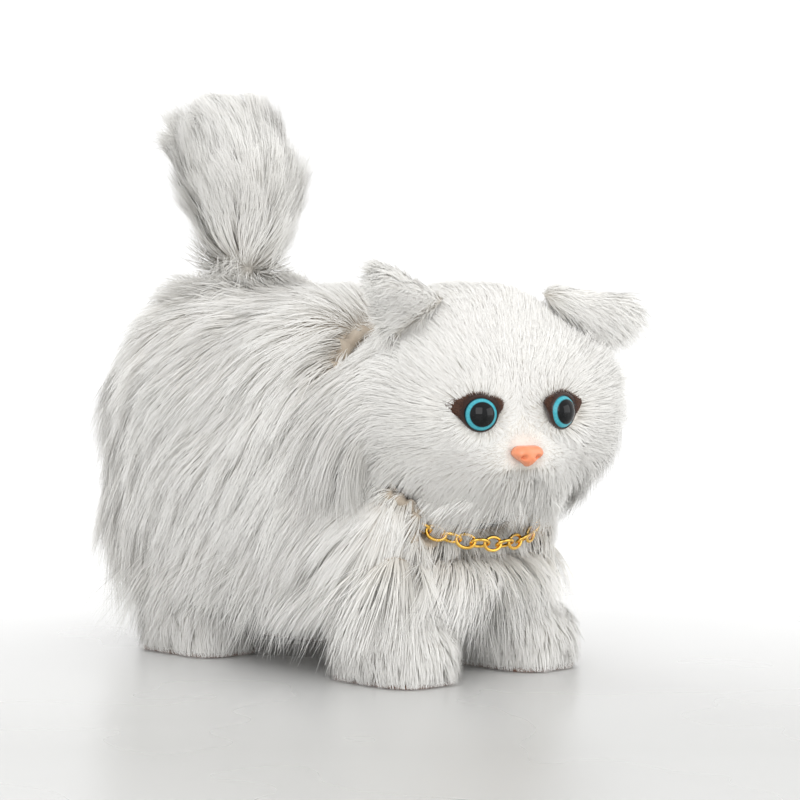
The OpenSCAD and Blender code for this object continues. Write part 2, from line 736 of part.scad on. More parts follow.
torso_plush();
torso_wadding();
belly_skin();
neck_lining();
housing_base();
housing_cover();
housing_screws();
front_axle();
rear_axle();
axle_clips();
motor();
gear_plate_inner();
gear_plate_outer();
gear_pins();
circuit_board();
board_parts();
speaker();
batteries();
battery_contacts();
switch_body();
neck_post();
tail_pivot_pin();
collar_chain();
collar_clasp();
motor_pinion();
gear_first();
gear_second();
crank_gear();
crank_shaft();
crank_arms();
leg_front_left();
paw_front_left();
sole_front_left();
leg_front_right();
paw_front_right();
sole_front_right();
leg_rear_left();
paw_rear_left();
sole_rear_left();
leg_rear_right();
paw_rear_right();
sole_rear_right();
tie_rod_left();
tie_rod_right();
neck_swivel();
head_frame();
head_wadding();
head_plush();
ear_left();
ear_right();
eye_left();
eye_right();
nose();
shank_washers();
tail_arm();
tail_stem();
tail_plush();
switch_knob();
battery_door();
door_screw();
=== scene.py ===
"""Finishes a battery-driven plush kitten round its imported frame: long pile, face, collar, cloth and mechanism."""

import json
import math

import bmesh
import bpy
import numpy as np
from bpy.props import FloatProperty, FloatVectorProperty, IntProperty, PointerProperty
from mathutils import Matrix, Vector, noise
from mathutils.bvhtree import BVHTree


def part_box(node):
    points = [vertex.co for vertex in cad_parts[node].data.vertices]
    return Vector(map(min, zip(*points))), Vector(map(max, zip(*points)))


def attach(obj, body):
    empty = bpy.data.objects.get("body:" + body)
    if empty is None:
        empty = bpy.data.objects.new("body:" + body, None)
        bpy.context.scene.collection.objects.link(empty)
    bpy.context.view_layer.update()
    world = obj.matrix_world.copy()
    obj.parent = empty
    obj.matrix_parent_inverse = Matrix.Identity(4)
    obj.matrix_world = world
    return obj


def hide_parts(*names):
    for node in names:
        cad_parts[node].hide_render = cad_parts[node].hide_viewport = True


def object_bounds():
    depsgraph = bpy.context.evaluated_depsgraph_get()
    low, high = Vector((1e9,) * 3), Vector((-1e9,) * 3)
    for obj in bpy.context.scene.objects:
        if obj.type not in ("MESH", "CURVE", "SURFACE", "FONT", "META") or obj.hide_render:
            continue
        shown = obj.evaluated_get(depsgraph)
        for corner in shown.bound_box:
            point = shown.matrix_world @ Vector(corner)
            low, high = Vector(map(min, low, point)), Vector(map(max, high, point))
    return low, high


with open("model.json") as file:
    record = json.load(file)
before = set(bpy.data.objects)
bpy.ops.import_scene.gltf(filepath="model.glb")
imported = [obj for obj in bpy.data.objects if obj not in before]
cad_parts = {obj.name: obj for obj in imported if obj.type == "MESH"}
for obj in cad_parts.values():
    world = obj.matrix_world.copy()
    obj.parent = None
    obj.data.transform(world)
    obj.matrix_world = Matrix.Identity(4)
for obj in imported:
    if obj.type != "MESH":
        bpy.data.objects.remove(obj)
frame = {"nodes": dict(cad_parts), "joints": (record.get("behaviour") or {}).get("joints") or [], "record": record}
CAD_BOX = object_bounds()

bl_info = {
    "name": "Plush kitten finish",
    "version": (1, 0, 0),
    "blender": (4, 5, 0),
    "location": "View3D > Sidebar > Kitten",
    "description": "Pile coat, face, collar and working parts of a walking plush kitten",
    "category": "Object",
}

MM = 0.001
STRAND_MAP = "OFBake"  # corner map of a pile: tone of the strand across, way along the strand up


# ---- places taken from the frame ----

def joint(name):
    return next(j for j in frame["joints"] if j["name"] == name)


NOD = joint("head_nod")
HEAD_AT = Vector(NOD["pos_m"])
HEAD_YAW = math.atan2(-NOD["axis"][1], NOD["axis"][0])
HEAD = Matrix.Translation(HEAD_AT) @ Matrix.Rotation(-HEAD_YAW, 4, "Z")
TAIL_AT = Vector(joint("tail_wag")["pos_m"])
COLLAR_TILT = math.radians(29)
COLLAR = Matrix.Translation(HEAD_AT + Vector((0, 16.8, -33.5)) * MM) @ Matrix.Rotation(COLLAR_TILT, 4, "X")
EYE_OUT = math.radians(20)
NOSE = HEAD @ Matrix.Translation(Vector((0, -40.5, -18)) * MM) @ Matrix.Rotation(math.pi / 2, 4, "X")
LEGS = [(end, side) for end in ("front", "rear") for side in ("left", "right")]


def eye_frame(side):
    """Frame of an eye: Z points out of the dome, X to the kitten's left, Y up."""
    place = HEAD @ Matrix.Translation(Vector((side * 16, -35.5, -4)) * MM)
    return place @ Matrix.Rotation(side * EYE_OUT, 4, "Z") @ Matrix.Rotation(math.pi / 2, 4, "X")


# ---- sizes and colours that a user may change ----

def hex_rgb(text):
    """sRGB hex to the linear colour a shader takes."""
    channels = [int(text[i:i + 2], 16) / 255 for i in (1, 3, 5)]
    return tuple(c / 12.92 if c <= 0.04045 else ((c + 0.055) / 1.055) ** 2.4 for c in channels)


def length(name, text, default):
    return FloatProperty(name=name, description=text, default=default * MM, min=0, unit="LENGTH", subtype="DISTANCE")


def colour(name, text, default):
    return FloatVectorProperty(name=name, description=text, default=hex_rgb(default), size=3, min=0, max=1, subtype="COLOR")


class PileSettings(bpy.types.PropertyGroup):
    flank: length("Flank", "Length of the pile on the flanks", 25)
    back: length("Back", "Length of the pile along the back", 18)
    chest: length("Chest", "Length of the pile on the chest", 25)
    face: length("Face", "Length of the pile beside the nose", 3)
    mane: length("Mane", "Length of the pile behind the cheeks", 40)
    tail: length("Tail", "Length of the pile on the tail", 22)
    paw: length("Paw", "Length of the pile on the paws", 8.5)
    strand: length("Strand", "Width of a drawn strand at its root; each stands for a few real fibres", 0.27)
    lock: length("Lock", "Distance between the locks that strands gather in", 5.5)
    clump: FloatProperty(name="Clump", description="How far a strand's tip goes to its lock", default=0.5, min=0, max=1)
    seed: IntProperty(name="Seed", description="Seed of all the pile's random draws", default=7)


class FaceSettings(bpy.types.PropertyGroup):
    eye: length("Eye", "Diameter of an eye's dome", 12)
    dome: length("Dome", "How far an eye stands out", 4)
    nose: length("Nose", "Width of the nose", 12)
    iris: colour("Iris", "Colour of the ring in the eyes", "#1F8FA3")
    rim: colour("Rim", "Colour of the pile round the eyes", "#3A2015")
    nose_colour: colour("Nose colour", "Colour of the nose", "#EA8455")


class CollarSettings(bpy.types.PropertyGroup):
    radius: length("Radius", "Radius of the chain round the neck", 37)
    link: length("Link", "Length of a link", 8.4)
    wire: length("Wire", "Diameter of the wire", 1.25)
    count: IntProperty(name="Links", description="Links in the chain", default=42, min=12)
    gold: colour("Gold", "Colour of the plating", "#E3B04B")


class StageSettings(bpy.types.PropertyGroup):
    # painted shade: the floor colour is grey in front, and the sweep fades from it to white further back
    floor: colour("Floor", "Colour of the floor in front", "#C3C3C1")
    lamp: FloatProperty(name="Key lamp", description="Power of the key softbox", default=5.5, min=0, unit="POWER")
    world: FloatProperty(name="Surround", description="Strength of the white surround", default=1.0, min=0)


class KittenSettings(bpy.types.PropertyGroup):
    pile: PointerProperty(type=PileSettings)
    face: PointerProperty(type=FaceSettings)
    collar: PointerProperty(type=CollarSettings)
    stage: PointerProperty(type=StageSettings)


def settings():
    return bpy.context.scene.kitten


# ---- small tools ----

def put(tree, kind, inputs=None, **props):
    """Adds a node, sets its properties, and links or sets its inputs."""
    node = tree.nodes.new(kind)
    for name, value in props.items():
        setattr(node, name, value)
    for name, value in (inputs or {}).items():
        if isinstance(value, bpy.types.NodeSocket):
            tree.links.new(value, node.inputs[name])
        else:
            node.inputs[name].default_value = value
    return node


def smooth(low, high, x):
    t = np.clip((x - low) / (high - low), 0, 1)
    return t * t * (3 - 2 * t)


def unit(v):
    return v / np.maximum(np.linalg.norm(v, axis=1, keepdims=True), 1e-9)


def rows(*parts):
    """Stacks numbers and columns into an N x 3 array."""
    n = max(np.size(p) for p in parts)
    return np.stack([np.broadcast_to(np.asarray(p, float), n) for p in parts], axis=1)


def coords(mesh):
    out = np.empty(len(mesh.vertices) * 3)
    mesh.vertices.foreach_get("co", out)
    return out.reshape(-1, 3)


def set_coords(mesh, values):
    mesh.vertices.foreach_set("co", np.ascontiguousarray(values, dtype=np.float32).ravel())
    mesh.update()


def normals(mesh):
    out = np.empty(len(mesh.vertices) * 3)
    mesh.vertex_normals.foreach_get("vector", out)
    return out.reshape(-1, 3)


def new_piece(name, mesh, body, slot, *materials, replaces=()):
    """Links a mesh as a piece of the object, fixes it to its body and hides the CAD nodes it replaces."""
    obj = bpy.data.objects.new(name, mesh)
    bpy.context.scene.collection.objects.link(obj)
    for material in materials:
        mesh.materials.append(material)
    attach(obj, body)
    if replaces:
        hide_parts(*replaces)
    return obj


def from_bmesh(bm, name):
    bmesh.ops.recalc_face_normals(bm, faces=bm.faces)
    mesh = bpy.data.meshes.new(name)
    bm.to_mesh(mesh)
    bm.free()
    mesh.polygons.foreach_set("use_smooth", [True] * len(mesh.polygons))
    return mesh


def cad_copy(name, *nodes):
    """One mesh of CAD nodes, with their loose triangles joined."""
    bm = bmesh.new()
    for node in nodes:
        bm.from_mesh(frame["nodes"][node].data)
    bmesh.ops.remove_doubles(bm, verts=bm.verts, dist=1e-6)
    mesh = bpy.data.meshes.new(name)
    bm.to_mesh(mesh)
    bm.free()
    return mesh


def evaluated(obj, name):
    """The object's mesh with its modifiers made real; the object is removed."""
    graph = bpy.context.evaluated_depsgraph_get()
    mesh = bpy.data.meshes.new_from_object(obj.evaluated_get(graph))
    mesh.name = name
    bpy.data.objects.remove(obj)
    return mesh


def loose_object(mesh, name="work"):
    obj = bpy.data.objects.new(name, mesh)
    bpy.context.scene.collection.objects.link(obj)
    return obj


def remeshed(mesh, voxel, name):
    obj = loose_object(mesh)
    modifier = obj.modifiers.new("Remesh", "REMESH")
    modifier.mode = "VOXEL"
    modifier.voxel_size = voxel * MM
    modifier.use_smooth_shade = True
    return evaluated(obj, name)


def outer_side(mesh, reach=1.6):
    """1 for vertices on the convex outside of a soft shell, 0 inside it."""
    bm = bmesh.new()
    bm.from_mesh(mesh)
    hull = bmesh.ops.convex_hull(bm, input=bm.verts)
    bmesh.ops.delete(bm, geom=[g for g in hull["geom_interior"] if isinstance(g, bmesh.types.BMVert)], context="VERTS")
    tree = BVHTree.FromBMesh(bm)
    bm.free()
    near = [tree.find_nearest(v.co)[3] for v in mesh.vertices]
    return 1 - smooth(reach * 0.7 * MM, reach * 1.6 * MM, np.array(near))


def inflate(mesh, free, cap, pressure=4.0):
    """Swells the free part of a pad with the cloth solver, and caps how far a point may move."""
    scene = bpy.context.scene
    before = coords(mesh)
    obj = loose_object(mesh.copy(), "pad")
    pins = obj.vertex_groups.new(name="pins")
    for i in np.nonzero(free < 0.5)[0]:
        pins.add([int(i)], 1.0, "REPLACE")
    cloth = obj.modifiers.new("Cloth", "CLOTH")
    cloth.settings.use_pressure = True
    cloth.settings.uniform_pressure_force = pressure
    cloth.settings.effector_weights.gravity = 0
    cloth.settings.vertex_group_mass = "pins"
    cloth.settings.quality = 4
    cloth.collision_settings.use_collision = False
    cloth.point_cache.frame_start, cloth.point_cache.frame_end = 1, 20
    for step in range(1, 21):
        scene.frame_set(step)
    graph = bpy.context.evaluated_depsgraph_get()
    swollen = bpy.data.meshes.new_from_object(obj.evaluated_get(graph))
    move = (coords(swollen) - before) * free[:, None]
    far = np.maximum(np.linalg.norm(move, axis=1), 1e-9)
    set_coords(mesh, before + move * np.minimum(1, cap * MM / far)[:, None])
    bpy.data.objects.remove(obj)
    scene.frame_set(1)


def wander(points, scale, seed):
    """Slow random vectors over the surface, one for each point, from a fixed noise."""
    shift = Vector((seed * 7.3, seed * 3.1, seed * 5.7))
    return np.array([noise.noise_vector(Vector(p) * (1 / scale) + shift) for p in points])


def lay(mesh, flow, normal, size, lift, cover):
    """Stores how the pile lies: its way along the skin, its length, how far it stands and where it grows."""
    flow = unit(flow)
    flow = unit(flow - normal * np.sum(flow * normal, axis=1, keepdims=True))
    for name, kind, key, values in (
        ("comb", "FLOAT_VECTOR", "vector", flow), ("pile_length", "FLOAT", "value", size * MM),
        ("lift", "FLOAT", "value", lift), ("cover", "FLOAT", "value", cover),
    ):
        if name in mesh.attributes:
            mesh.attributes.remove(mesh.attributes[name])
        layer = mesh.attributes.new(name, kind, "POINT")
        full = np.broadcast_to(np.asarray(values, float), flow.shape if kind == "FLOAT_VECTOR" else len(flow))
        layer.data.foreach_set(key, np.ascontiguousarray(full, dtype=np.float32).ravel())


# ---- pile: strands on a skin ----

def pile_tree():
    """Geometry Nodes tree that grows flat strands, gathered in locks, from a skin with stored lay."""
    old = bpy.data.node_groups.get("Pile strands")
    if old:
        return old
    tree = bpy.data.node_groups.new("Pile strands", "GeometryNodeTree")
    sockets = [
        ("Skin", "NodeSocketGeometry", None), ("Density", "NodeSocketFloat", 1e6), ("Locks", "NodeSocketFloat", 5e4),
        ("Strand width", "NodeSocketFloat", 0.35 * MM), ("Points", "NodeSocketInt", 6), ("Clump", "NodeSocketFloat", 0.6),
        ("Frizz", "NodeSocketFloat", 0.12), ("Droop", "NodeSocketFloat", 0.1), ("Floor", "NodeSocketFloat", -1.0),
        ("Seed", "NodeSocketInt", 1), ("Finish", "NodeSocketMaterial", None),
    ]
    for name, kind, default in sockets:
        socket = tree.interface.new_socket(name, in_out="INPUT", socket_type=kind)
        if default is not None:
            socket.default_value = default
    tree.interface.new_socket("Pile", in_out="OUTPUT", socket_type="NodeSocketGeometry")
    given = tree.nodes.new("NodeGroupInput").outputs

    def attribute(name, kind="FLOAT"):
        return put(tree, "GeometryNodeInputNamedAttribute", {"Name": name}, data_type=kind).outputs["Attribute"]

    def store(geometry, name, value, kind="FLOAT", domain="POINT"):
        return put(tree, "GeometryNodeStoreNamedAttribute", {"Geometry": geometry, "Name": name, "Value": value},
                   data_type=kind, domain=domain).outputs[0]

    def math_node(operation, a, b=0.0):
        return put(tree, "ShaderNodeMath", {0: a, 1: b}, operation=operation).outputs[0]

    def scaled(vector, factor):
        return put(tree, "ShaderNodeVectorMath", {0: vector, 3: factor}, operation="SCALE").outputs[0]

    def added(a, b):
        return put(tree, "ShaderNodeVectorMath", {0: a, 1: b}, operation="ADD").outputs[0]

    def blended(a, b, factor):
        return put(tree, "ShaderNodeMix", {0: factor, 4: a, 5: b}, data_type="VECTOR").outputs[1]

    def chance(low, high, salt):
        seed = math_node("ADD", given["Seed"], salt)
        return put(tree, "FunctionNodeRandomValue", {2: low, 3: high, 8: seed}, data_type="FLOAT").outputs[1]

    def chance_vector(size, salt):
        seed = math_node("ADD", given["Seed"], salt)
        return put(tree, "FunctionNodeRandomValue", {0: (-size,) * 3, 1: (size,) * 3, 8: seed},
                   data_type="FLOAT_VECTOR").outputs[0]

    def rooted(density, salt, low, high):
        """Points on the skin that carry their normal, reach above it and reach along it."""
        seed = math_node("ADD", given["Seed"], salt)
        spread = put(tree, "GeometryNodeDistributePointsOnFaces", {"Mesh": given["Skin"], "Density": density, "Seed": seed})
        normal = spread.outputs["Normal"]
        reach = math_node("MULTIPLY", attribute("pile_length"), chance(low, high, salt + 1))
        points = store(spread.outputs["Points"], "reach", reach)
        points = store(points, "skin_normal", normal, "FLOAT_VECTOR")
        up = scaled(normal, math_node("MULTIPLY", attribute("reach"), attribute("lift")))
        points = store(points, "up", up, "FLOAT_VECTOR")
        return store(points, "go", scaled(attribute("comb", "FLOAT_VECTOR"), attribute("reach")), "FLOAT_VECTOR")

    locks = rooted(given["Locks"], 101, 0.8, 1.12)
    locks = store(locks, "go", added(attribute("go", "FLOAT_VECTOR"), scaled(chance_vector(0.16, 103), attribute("reach"))), "FLOAT_VECTOR")
    density = math_node("MULTIPLY", given["Density"], attribute("cover"))
    points = rooted(density, 11, 0.7, 1.08)
    place = tree.nodes.new("GeometryNodeInputPosition").outputs[0]
    points = store(points, "root", place, "FLOAT_VECTOR")
    near = put(tree, "GeometryNodeSampleNearest", {"Geometry": locks, "Sample Position": place}, domain="POINT").outputs[0]
    for name, value in (("lock_root", place), ("lock_up", attribute("up", "FLOAT_VECTOR")), ("lock_go", attribute("go", "FLOAT_VECTOR"))):
        picked = put(tree, "GeometryNodeSampleIndex", {"Geometry": locks, "Value": value, "Index": near},
                     data_type="FLOAT_VECTOR", domain="POINT").outputs[0]
        points = store(points, name, picked, "FLOAT_VECTOR")
    points = store(points, "frizz", scaled(chance_vector(1.0, 31), math_node("MULTIPLY", given["Frizz"], attribute("reach"))), "FLOAT_VECTOR")
    points = store(points, "tone", chance(0.0, 1.0, 41))
    points = store(points, "pull", math_node("MULTIPLY", given["Clump"], chance(0.55, 1.25, 51)))

    line = put(tree, "GeometryNodeCurvePrimitiveLine", {"Start": (0, 0, 0), "End": (0, 0, 1)})
    line = put(tree, "GeometryNodeResampleCurve", {"Curve": line.outputs[0], "Count": given["Points"]}).outputs[0]
    strands = put(tree, "GeometryNodeInstanceOnPoints", {"Points": points, "Instance": line}).outputs[0]
    strands = put(tree, "GeometryNodeRealizeInstances", {"Geometry": strands}).outputs[0]

    along = tree.nodes.new("GeometryNodeSplineParameter").outputs["Factor"]
    pull = math_node("MINIMUM", math_node("MULTIPLY", attribute("pull"), math_node("POWER", along, 1.2)), 1.0)
    rise = math_node("MULTIPLY", along, math_node("SUBTRACT", 1.5, math_node("MULTIPLY", along, 0.8)))
    spot = blended(attribute("root", "FLOAT_VECTOR"), attribute("lock_root", "FLOAT_VECTOR"), pull)
    up = scaled(blended(attribute("up", "FLOAT_VECTOR"), attribute("lock_up", "FLOAT_VECTOR"), pull), rise)
    go = scaled(blended(attribute("go", "FLOAT_VECTOR"), attribute("lock_go", "FLOAT_VECTOR"), pull), math_node("POWER", along, 1.15))
    stray = scaled(attribute("frizz", "FLOAT_VECTOR"), math_node("POWER", along, 2.0))
    spot = added(added(spot, up), added(go, stray))
    fall = math_node("MULTIPLY", math_node("MULTIPLY", attribute("reach"), given["Droop"]), math_node("POWER", along, 2.0))
    parts = put(tree, "ShaderNodeSeparateXYZ", {0: spot}).outputs
    height = math_node("MAXIMUM", math_node("SUBTRACT", parts[2], fall), given["Floor"])
    spot = put(tree, "ShaderNodeCombineXYZ", {0: parts[0], 1: parts[1], 2: height}).outputs[0]
    strands = put(tree, "GeometryNodeSetPosition", {"Geometry": strands, "Position": spot}).outputs[0]
    strands = store(strands, "way", along)
    strands = put(tree, "GeometryNodeSetCurveNormal", {"Curve": strands, "Normal": attribute("skin_normal", "FLOAT_VECTOR")},
                  mode="FREE").outputs[0]

    taper = math_node("MULTIPLY", given["Strand width"], math_node("SUBTRACT", 1.0, math_node("MULTIPLY", math_node("POWER", along, 2.0), 0.85)))
    section = put(tree, "GeometryNodeCurvePrimitiveLine", {"Start": (0, -0.5, 0), "End": (0, 0.5, 0)}).outputs[0]
    ribbons = put(tree, "GeometryNodeCurveToMesh", {"Curve": strands, "Profile Curve": section, "Scale": taper}).outputs[0]
    chart = put(tree, "ShaderNodeCombineXYZ", {0: attribute("tone"), 1: attribute("way")}).outputs[0]
    ribbons = store(ribbons, STRAND_MAP, chart, "FLOAT2", "CORNER")
    ribbons = put(tree, "GeometryNodeSetShadeSmooth", {"Geometry": ribbons}).outputs[0]
    facing = tree.nodes.new("GeometryNodeInputNormal").outputs[0]
    softened = blended(facing, attribute("skin_normal", "FLOAT_VECTOR"), 0.75)
    ribbons = put(tree, "GeometryNodeSetMeshNormal", {"Mesh": ribbons, "Custom Normal": softened}, mode="FREE", domain="POINT").outputs[0]
    ribbons = put(tree, "GeometryNodeRealizeInstances", {"Geometry": ribbons}).outputs[0]
    ribbons = put(tree, "GeometryNodeSetMaterial", {"Geometry": ribbons, "Material": given["Finish"]}).outputs[0]
    out = tree.nodes.new("NodeGroupOutput")
    tree.links.new(ribbons, out.inputs[0])
    return tree


def grow(name, skin, body, slot, material, strands, points=6, width=None, clump=None, frizz=0.12, droop=0.1,
         floor=-1.0, lock=None, seed=0):
    """Grows a pile piece of about `strands` strands from a skin mesh that has its lay stored."""
    pile = settings().pile
    tree = pile_tree()
    cover = np.empty(len(skin.vertices))
    skin.attributes["cover"].data.foreach_get("value", cover)
    area = sum(p.area * cover[list(p.vertices)].mean() for p in skin.polygons)
    obj = loose_object(skin.copy(), "skin")
    modifier = obj.modifiers.new("Pile", "NODES")
    modifier.node_group = tree
    keys = {item.name: item.identifier for item in tree.interface.items_tree if item.in_out == "INPUT"}
    lock = lock or pile.lock
    for key, value in (
        ("Density", strands / max(area, 1e-9)), ("Locks", 1 / lock ** 2), ("Strand width", width or pile.strand), ("Points", points),
        ("Clump", pile.clump if clump is None else clump), ("Frizz", frizz), ("Droop", droop), ("Floor", floor),
        ("Seed", pile.seed + seed), ("Finish", material),
    ):
        modifier[keys[key]] = value
    mesh = evaluated(obj, name)
    for extra in [a.name for a in mesh.attributes if a.name in EXTRA_LAYERS]:
        mesh.attributes.remove(mesh.attributes[extra])
    trim(mesh)
    if not mesh.polygons:
        raise RuntimeError(f"{name}: no strands grew")
    piece = new_piece(name, mesh, body, slot)
    if not mesh.materials:
        mesh.materials.append(material)
    return piece


def trim(mesh):
    """Presses in the tips that would stand far outside the object's own box."""
    low, high = (np.array(c) for c in CAD_BOX)
    room = 6 * MM
    p = coords(mesh)
    past_high = np.maximum(p - high - room, 0)
    past_low = np.maximum(low - room - p, 0)
    set_coords(mesh, p - 0.72 * past_high + 0.72 * past_low)


EXTRA_LAYERS = {"comb", "pile_length", "lift", "cover", "reach", "skin_normal", "up", "go", "root", "lock_root",
                "lock_up", "lock_go", "frizz", "tone", "pull", "way"}


# ---- finishes ----

def finish(name, base, rough=0.5, metal=0.0, **sockets):
    """A Principled material with plain values; the detail is added by its caller."""
    material = bpy.data.materials.get(name)
    if material:
        return material, None, None
    material = bpy.data.materials.new(name)
    material.use_nodes = True
    tree = material.node_tree
    shader = tree.nodes["Principled BSDF"]
    shader.inputs["Base Color"].default_value = (*base, 1)
    shader.inputs["Roughness"].default_value = rough
    shader.inputs["Metallic"].default_value = metal
    for key, value in sockets.items():
        shader.inputs[key.replace("_", " ")].default_value = value
    return material, tree, shader


def object_space(tree, scale=1.0):
    where = tree.nodes.new("ShaderNodeTexCoord").outputs["Object"]
    return put(tree, "ShaderNodeMapping", {"Vector": where, "Scale": (scale,) * 3}).outputs[0]


def grained(name, base, other, rough, grain_mm, bump=0.1, mottle_mm=12, metal=0.0, **sockets):
    """A surface with a fine raised grain and a slow change of tone, both in real millimetres."""
    material, tree, shader = finish(name, base, rough, metal, **sockets)
    if tree is None:
        return material
    where = object_space(tree)
    grain = put(tree, "ShaderNodeTexNoise", {"Vector": where, "Scale": 1 / (grain_mm * MM), "Detail": 3.0}).outputs[0]
    slow = put(tree, "ShaderNodeTexNoise", {"Vector": where, "Scale": 1 / (mottle_mm * MM), "Detail": 4.0}).outputs[0]
    mixed = put(tree, "ShaderNodeMix", {0: slow, 6: (*base, 1), 7: (*other, 1)}, data_type="RGBA").outputs[2]
    tree.links.new(mixed, shader.inputs["Base Color"])
    wear = put(tree, "ShaderNodeMapRange", {"Value": grain, "To Min": rough * 0.85, "To Max": min(1.0, rough * 1.15)}).outputs[0]
    tree.links.new(wear, shader.inputs["Roughness"])
    raised = put(tree, "ShaderNodeBump", {"Height": grain, "Strength": bump, "Distance": grain_mm * MM * 0.5}).outputs[0]
    tree.links.new(raised, shader.inputs["Normal"])
    return material


def pile_finish(name, root, middle, tip, rough=0.6):
    """Long acrylic pile, each strand its own tone: the colour runs from darker and warmer at the root to brighter at
    the tip, which is painted shade deep in the pile.
    """
    material, tree, shader = finish(name, tip, rough, Specular_IOR_Level=0.35)
    if tree is None:
        return material
    chart = put(tree, "ShaderNodeUVMap", uv_map=STRAND_MAP).outputs[0]
    parts = put(tree, "ShaderNodeSeparateXYZ", {0: chart}).outputs
    ramp = put(tree, "ShaderNodeValToRGB", {0: parts[1]})
    stops = ramp.color_ramp.elements
    # painted shade: the root stop is darker, for the shade between the strands near the skin
    stops[0].position, stops[0].color = 0.0, (*root, 1)
    stops[1].position, stops[1].color = 0.75, (*tip, 1)
    stop = stops.new(0.3)
    stop.color = (*middle, 1)
    tone = put(tree, "ShaderNodeMapRange", {"Value": parts[0], "To Min": 0.9, "To Max": 1.0}).outputs[0]
    shaded = put(tree, "ShaderNodeMix", {0: 1.0, 6: ramp.outputs[0], 7: tone}, data_type="RGBA", blend_type="MULTIPLY").outputs[2]
    tree.links.new(shaded, shader.inputs["Base Color"])
    return material


def white_pile():
    # painted shade: the root colour #DDD8CF is darker than the tip colour, for the shade deep in the coat
    return pile_finish("Long white acrylic pile", hex_rgb("#DDD8CF"), hex_rgb("#F1EFEA"), hex_rgb("#F8F7F4"))


def backing_cloth():
    """Knitted backing, warm grey-brown: what shows between the locks of the body; its dark grey-brown is painted shade
    of the deep gaps between the locks.
    """
    return grained("Knitted backing cloth", hex_rgb("#C9BEAE"), hex_rgb("#A08F7C"), 0.9, 0.8, 0.5, 9)


def white_backing():
    """Bleached knitted backing under short pile, so that partings stay white."""
    return grained("Bleached knitted backing", hex_rgb("#EFECE6"), hex_rgb("#E2DDD4"), 0.9, 0.8, 0.4, 9)


# ---- stage ----

class KITTEN_OT_stage(bpy.types.Operator):
    """Sets the pale sweep, the soft lamps, the white surround and the camera"""
    bl_idname = "kitten.stage"
    bl_label = "Stage"

    def execute(self, context):
        stage = settings().stage
        scene = context.scene
        floor, tree, shader = finish("Pale gloss laminate", tuple(stage.floor), 0.28)
        if tree:
            where = object_space(tree)
            slow = put(tree, "ShaderNodeTexNoise", {"Vector": where, "Scale": 9.0, "Detail": 2.0}).outputs[0]
            tree.links.new(put(tree, "ShaderNodeMapRange", {"Value": slow, "To Min": 0.22, "To Max": 0.34}).outputs[0], shader.inputs["Roughness"])
            # painted shade: the floor is grey in front and fades to white further back and up the sweep, where more
            # light falls
            depth = put(tree, "ShaderNodeVectorMath", {0: where, 1: (0.684, 0.726, 0)}, operation="DOT_PRODUCT").outputs["Value"]
            painted_shade_fade = put(tree, "ShaderNodeMapRange", {"Value": depth, "From Min": -0.2, "From Max": 0.3}).outputs[0]
            tint_with_painted_shade = put(tree, "ShaderNodeMix", {0: painted_shade_fade, 6: (*stage.floor, 1), 7: (*hex_rgb("#FAFAFA"), 1)}, data_type="RGBA").outputs[2]
            tree.links.new(tint_with_painted_shade, shader.inputs["Base Color"])
        away = Vector((0.684, 0.726, 0)).normalized()
        side = Vector((-away.y, away.x, 0))
        bm = bmesh.new()
        profile = [(-1.5, 0.0), (0.9, 0.0)] + [
            (0.9 + 0.6 * math.sin(a), 0.6 - 0.6 * math.cos(a)) for a in np.linspace(0, math.pi / 2, 13)[1:]] + [(1.5, 2.4)]
        strips = [[bm.verts.new(away * d + side * w + Vector((0, 0, z))) for d, z in profile] for w in (-2.5, 2.5)]
        for i in range(len(profile) - 1):
            bm.faces.new((strips[0][i], strips[0][i + 1], strips[1][i + 1], strips[1][i]))
        mesh = from_bmesh(bm, "sweep")
        if mesh.polygons[0].normal.z < 0:
            mesh.flip_normals()
        mesh.materials.append(floor)
        sweep = loose_object(mesh, "sweep")

        world = scene.world or bpy.data.worlds.new("Surround")
        scene.world = world
        scene.view_settings.view_transform = "Standard"
        world.use_nodes = True
        back = world.node_tree.nodes["Background"]
        back.inputs["Color"].default_value = (1, 1, 1, 1)
        back.inputs["Strength"].default_value = stage.world
        aim = Vector((0, -24.8, 96.65)) * MM
        for name, place, size, power in (
            ("key softbox", (-0.85, -0.85, 0.6), 0.9, stage.lamp), ("fill softbox", (0.5, -1.1, 0.3), 0.9, stage.lamp * 0.8),
            ("back softbox", (0.25, 0.95, 0.9), 0.8, stage.lamp * 0.6),
        ):
            lamp = bpy.data.lights.new(name, "AREA")
            lamp.size, lamp.energy = size, power
            obj = bpy.data.objects.new(name, lamp)
            scene.collection.objects.link(obj)
            obj.location = place
            obj.rotation_euler = (aim - Vector(place)).to_track_quat("-Z", "Y").to_euler()
        turn, rise = math.radians(-43.3), math.radians(3.7)
        back_way = Vector((math.sin(turn) * math.cos(rise), -math.cos(turn) * math.cos(rise), math.sin(rise)))
        lens = bpy.data.cameras.new("camera")
        lens.lens, lens.sensor_width = 148.5, 36
        camera = bpy.data.objects.new("camera", lens)
        scene.collection.objects.link(camera)
        camera.location = aim + back_way * 1.2
        camera.rotation_euler = back_way.to_track_quat("Z", "Y").to_euler()
        scene.camera = camera
        return {"FINISHED"}


# ---- body coat ----

def sunk(mesh, depth):
    """Moves the outside of a soft shell in, to leave room for the pile, and tells outside from inside."""
    out = outer_side(mesh)
    point, normal = coords(mesh), normals(mesh)
    set_coords(mesh, point - normal * (out * depth * MM)[:, None])
    return out


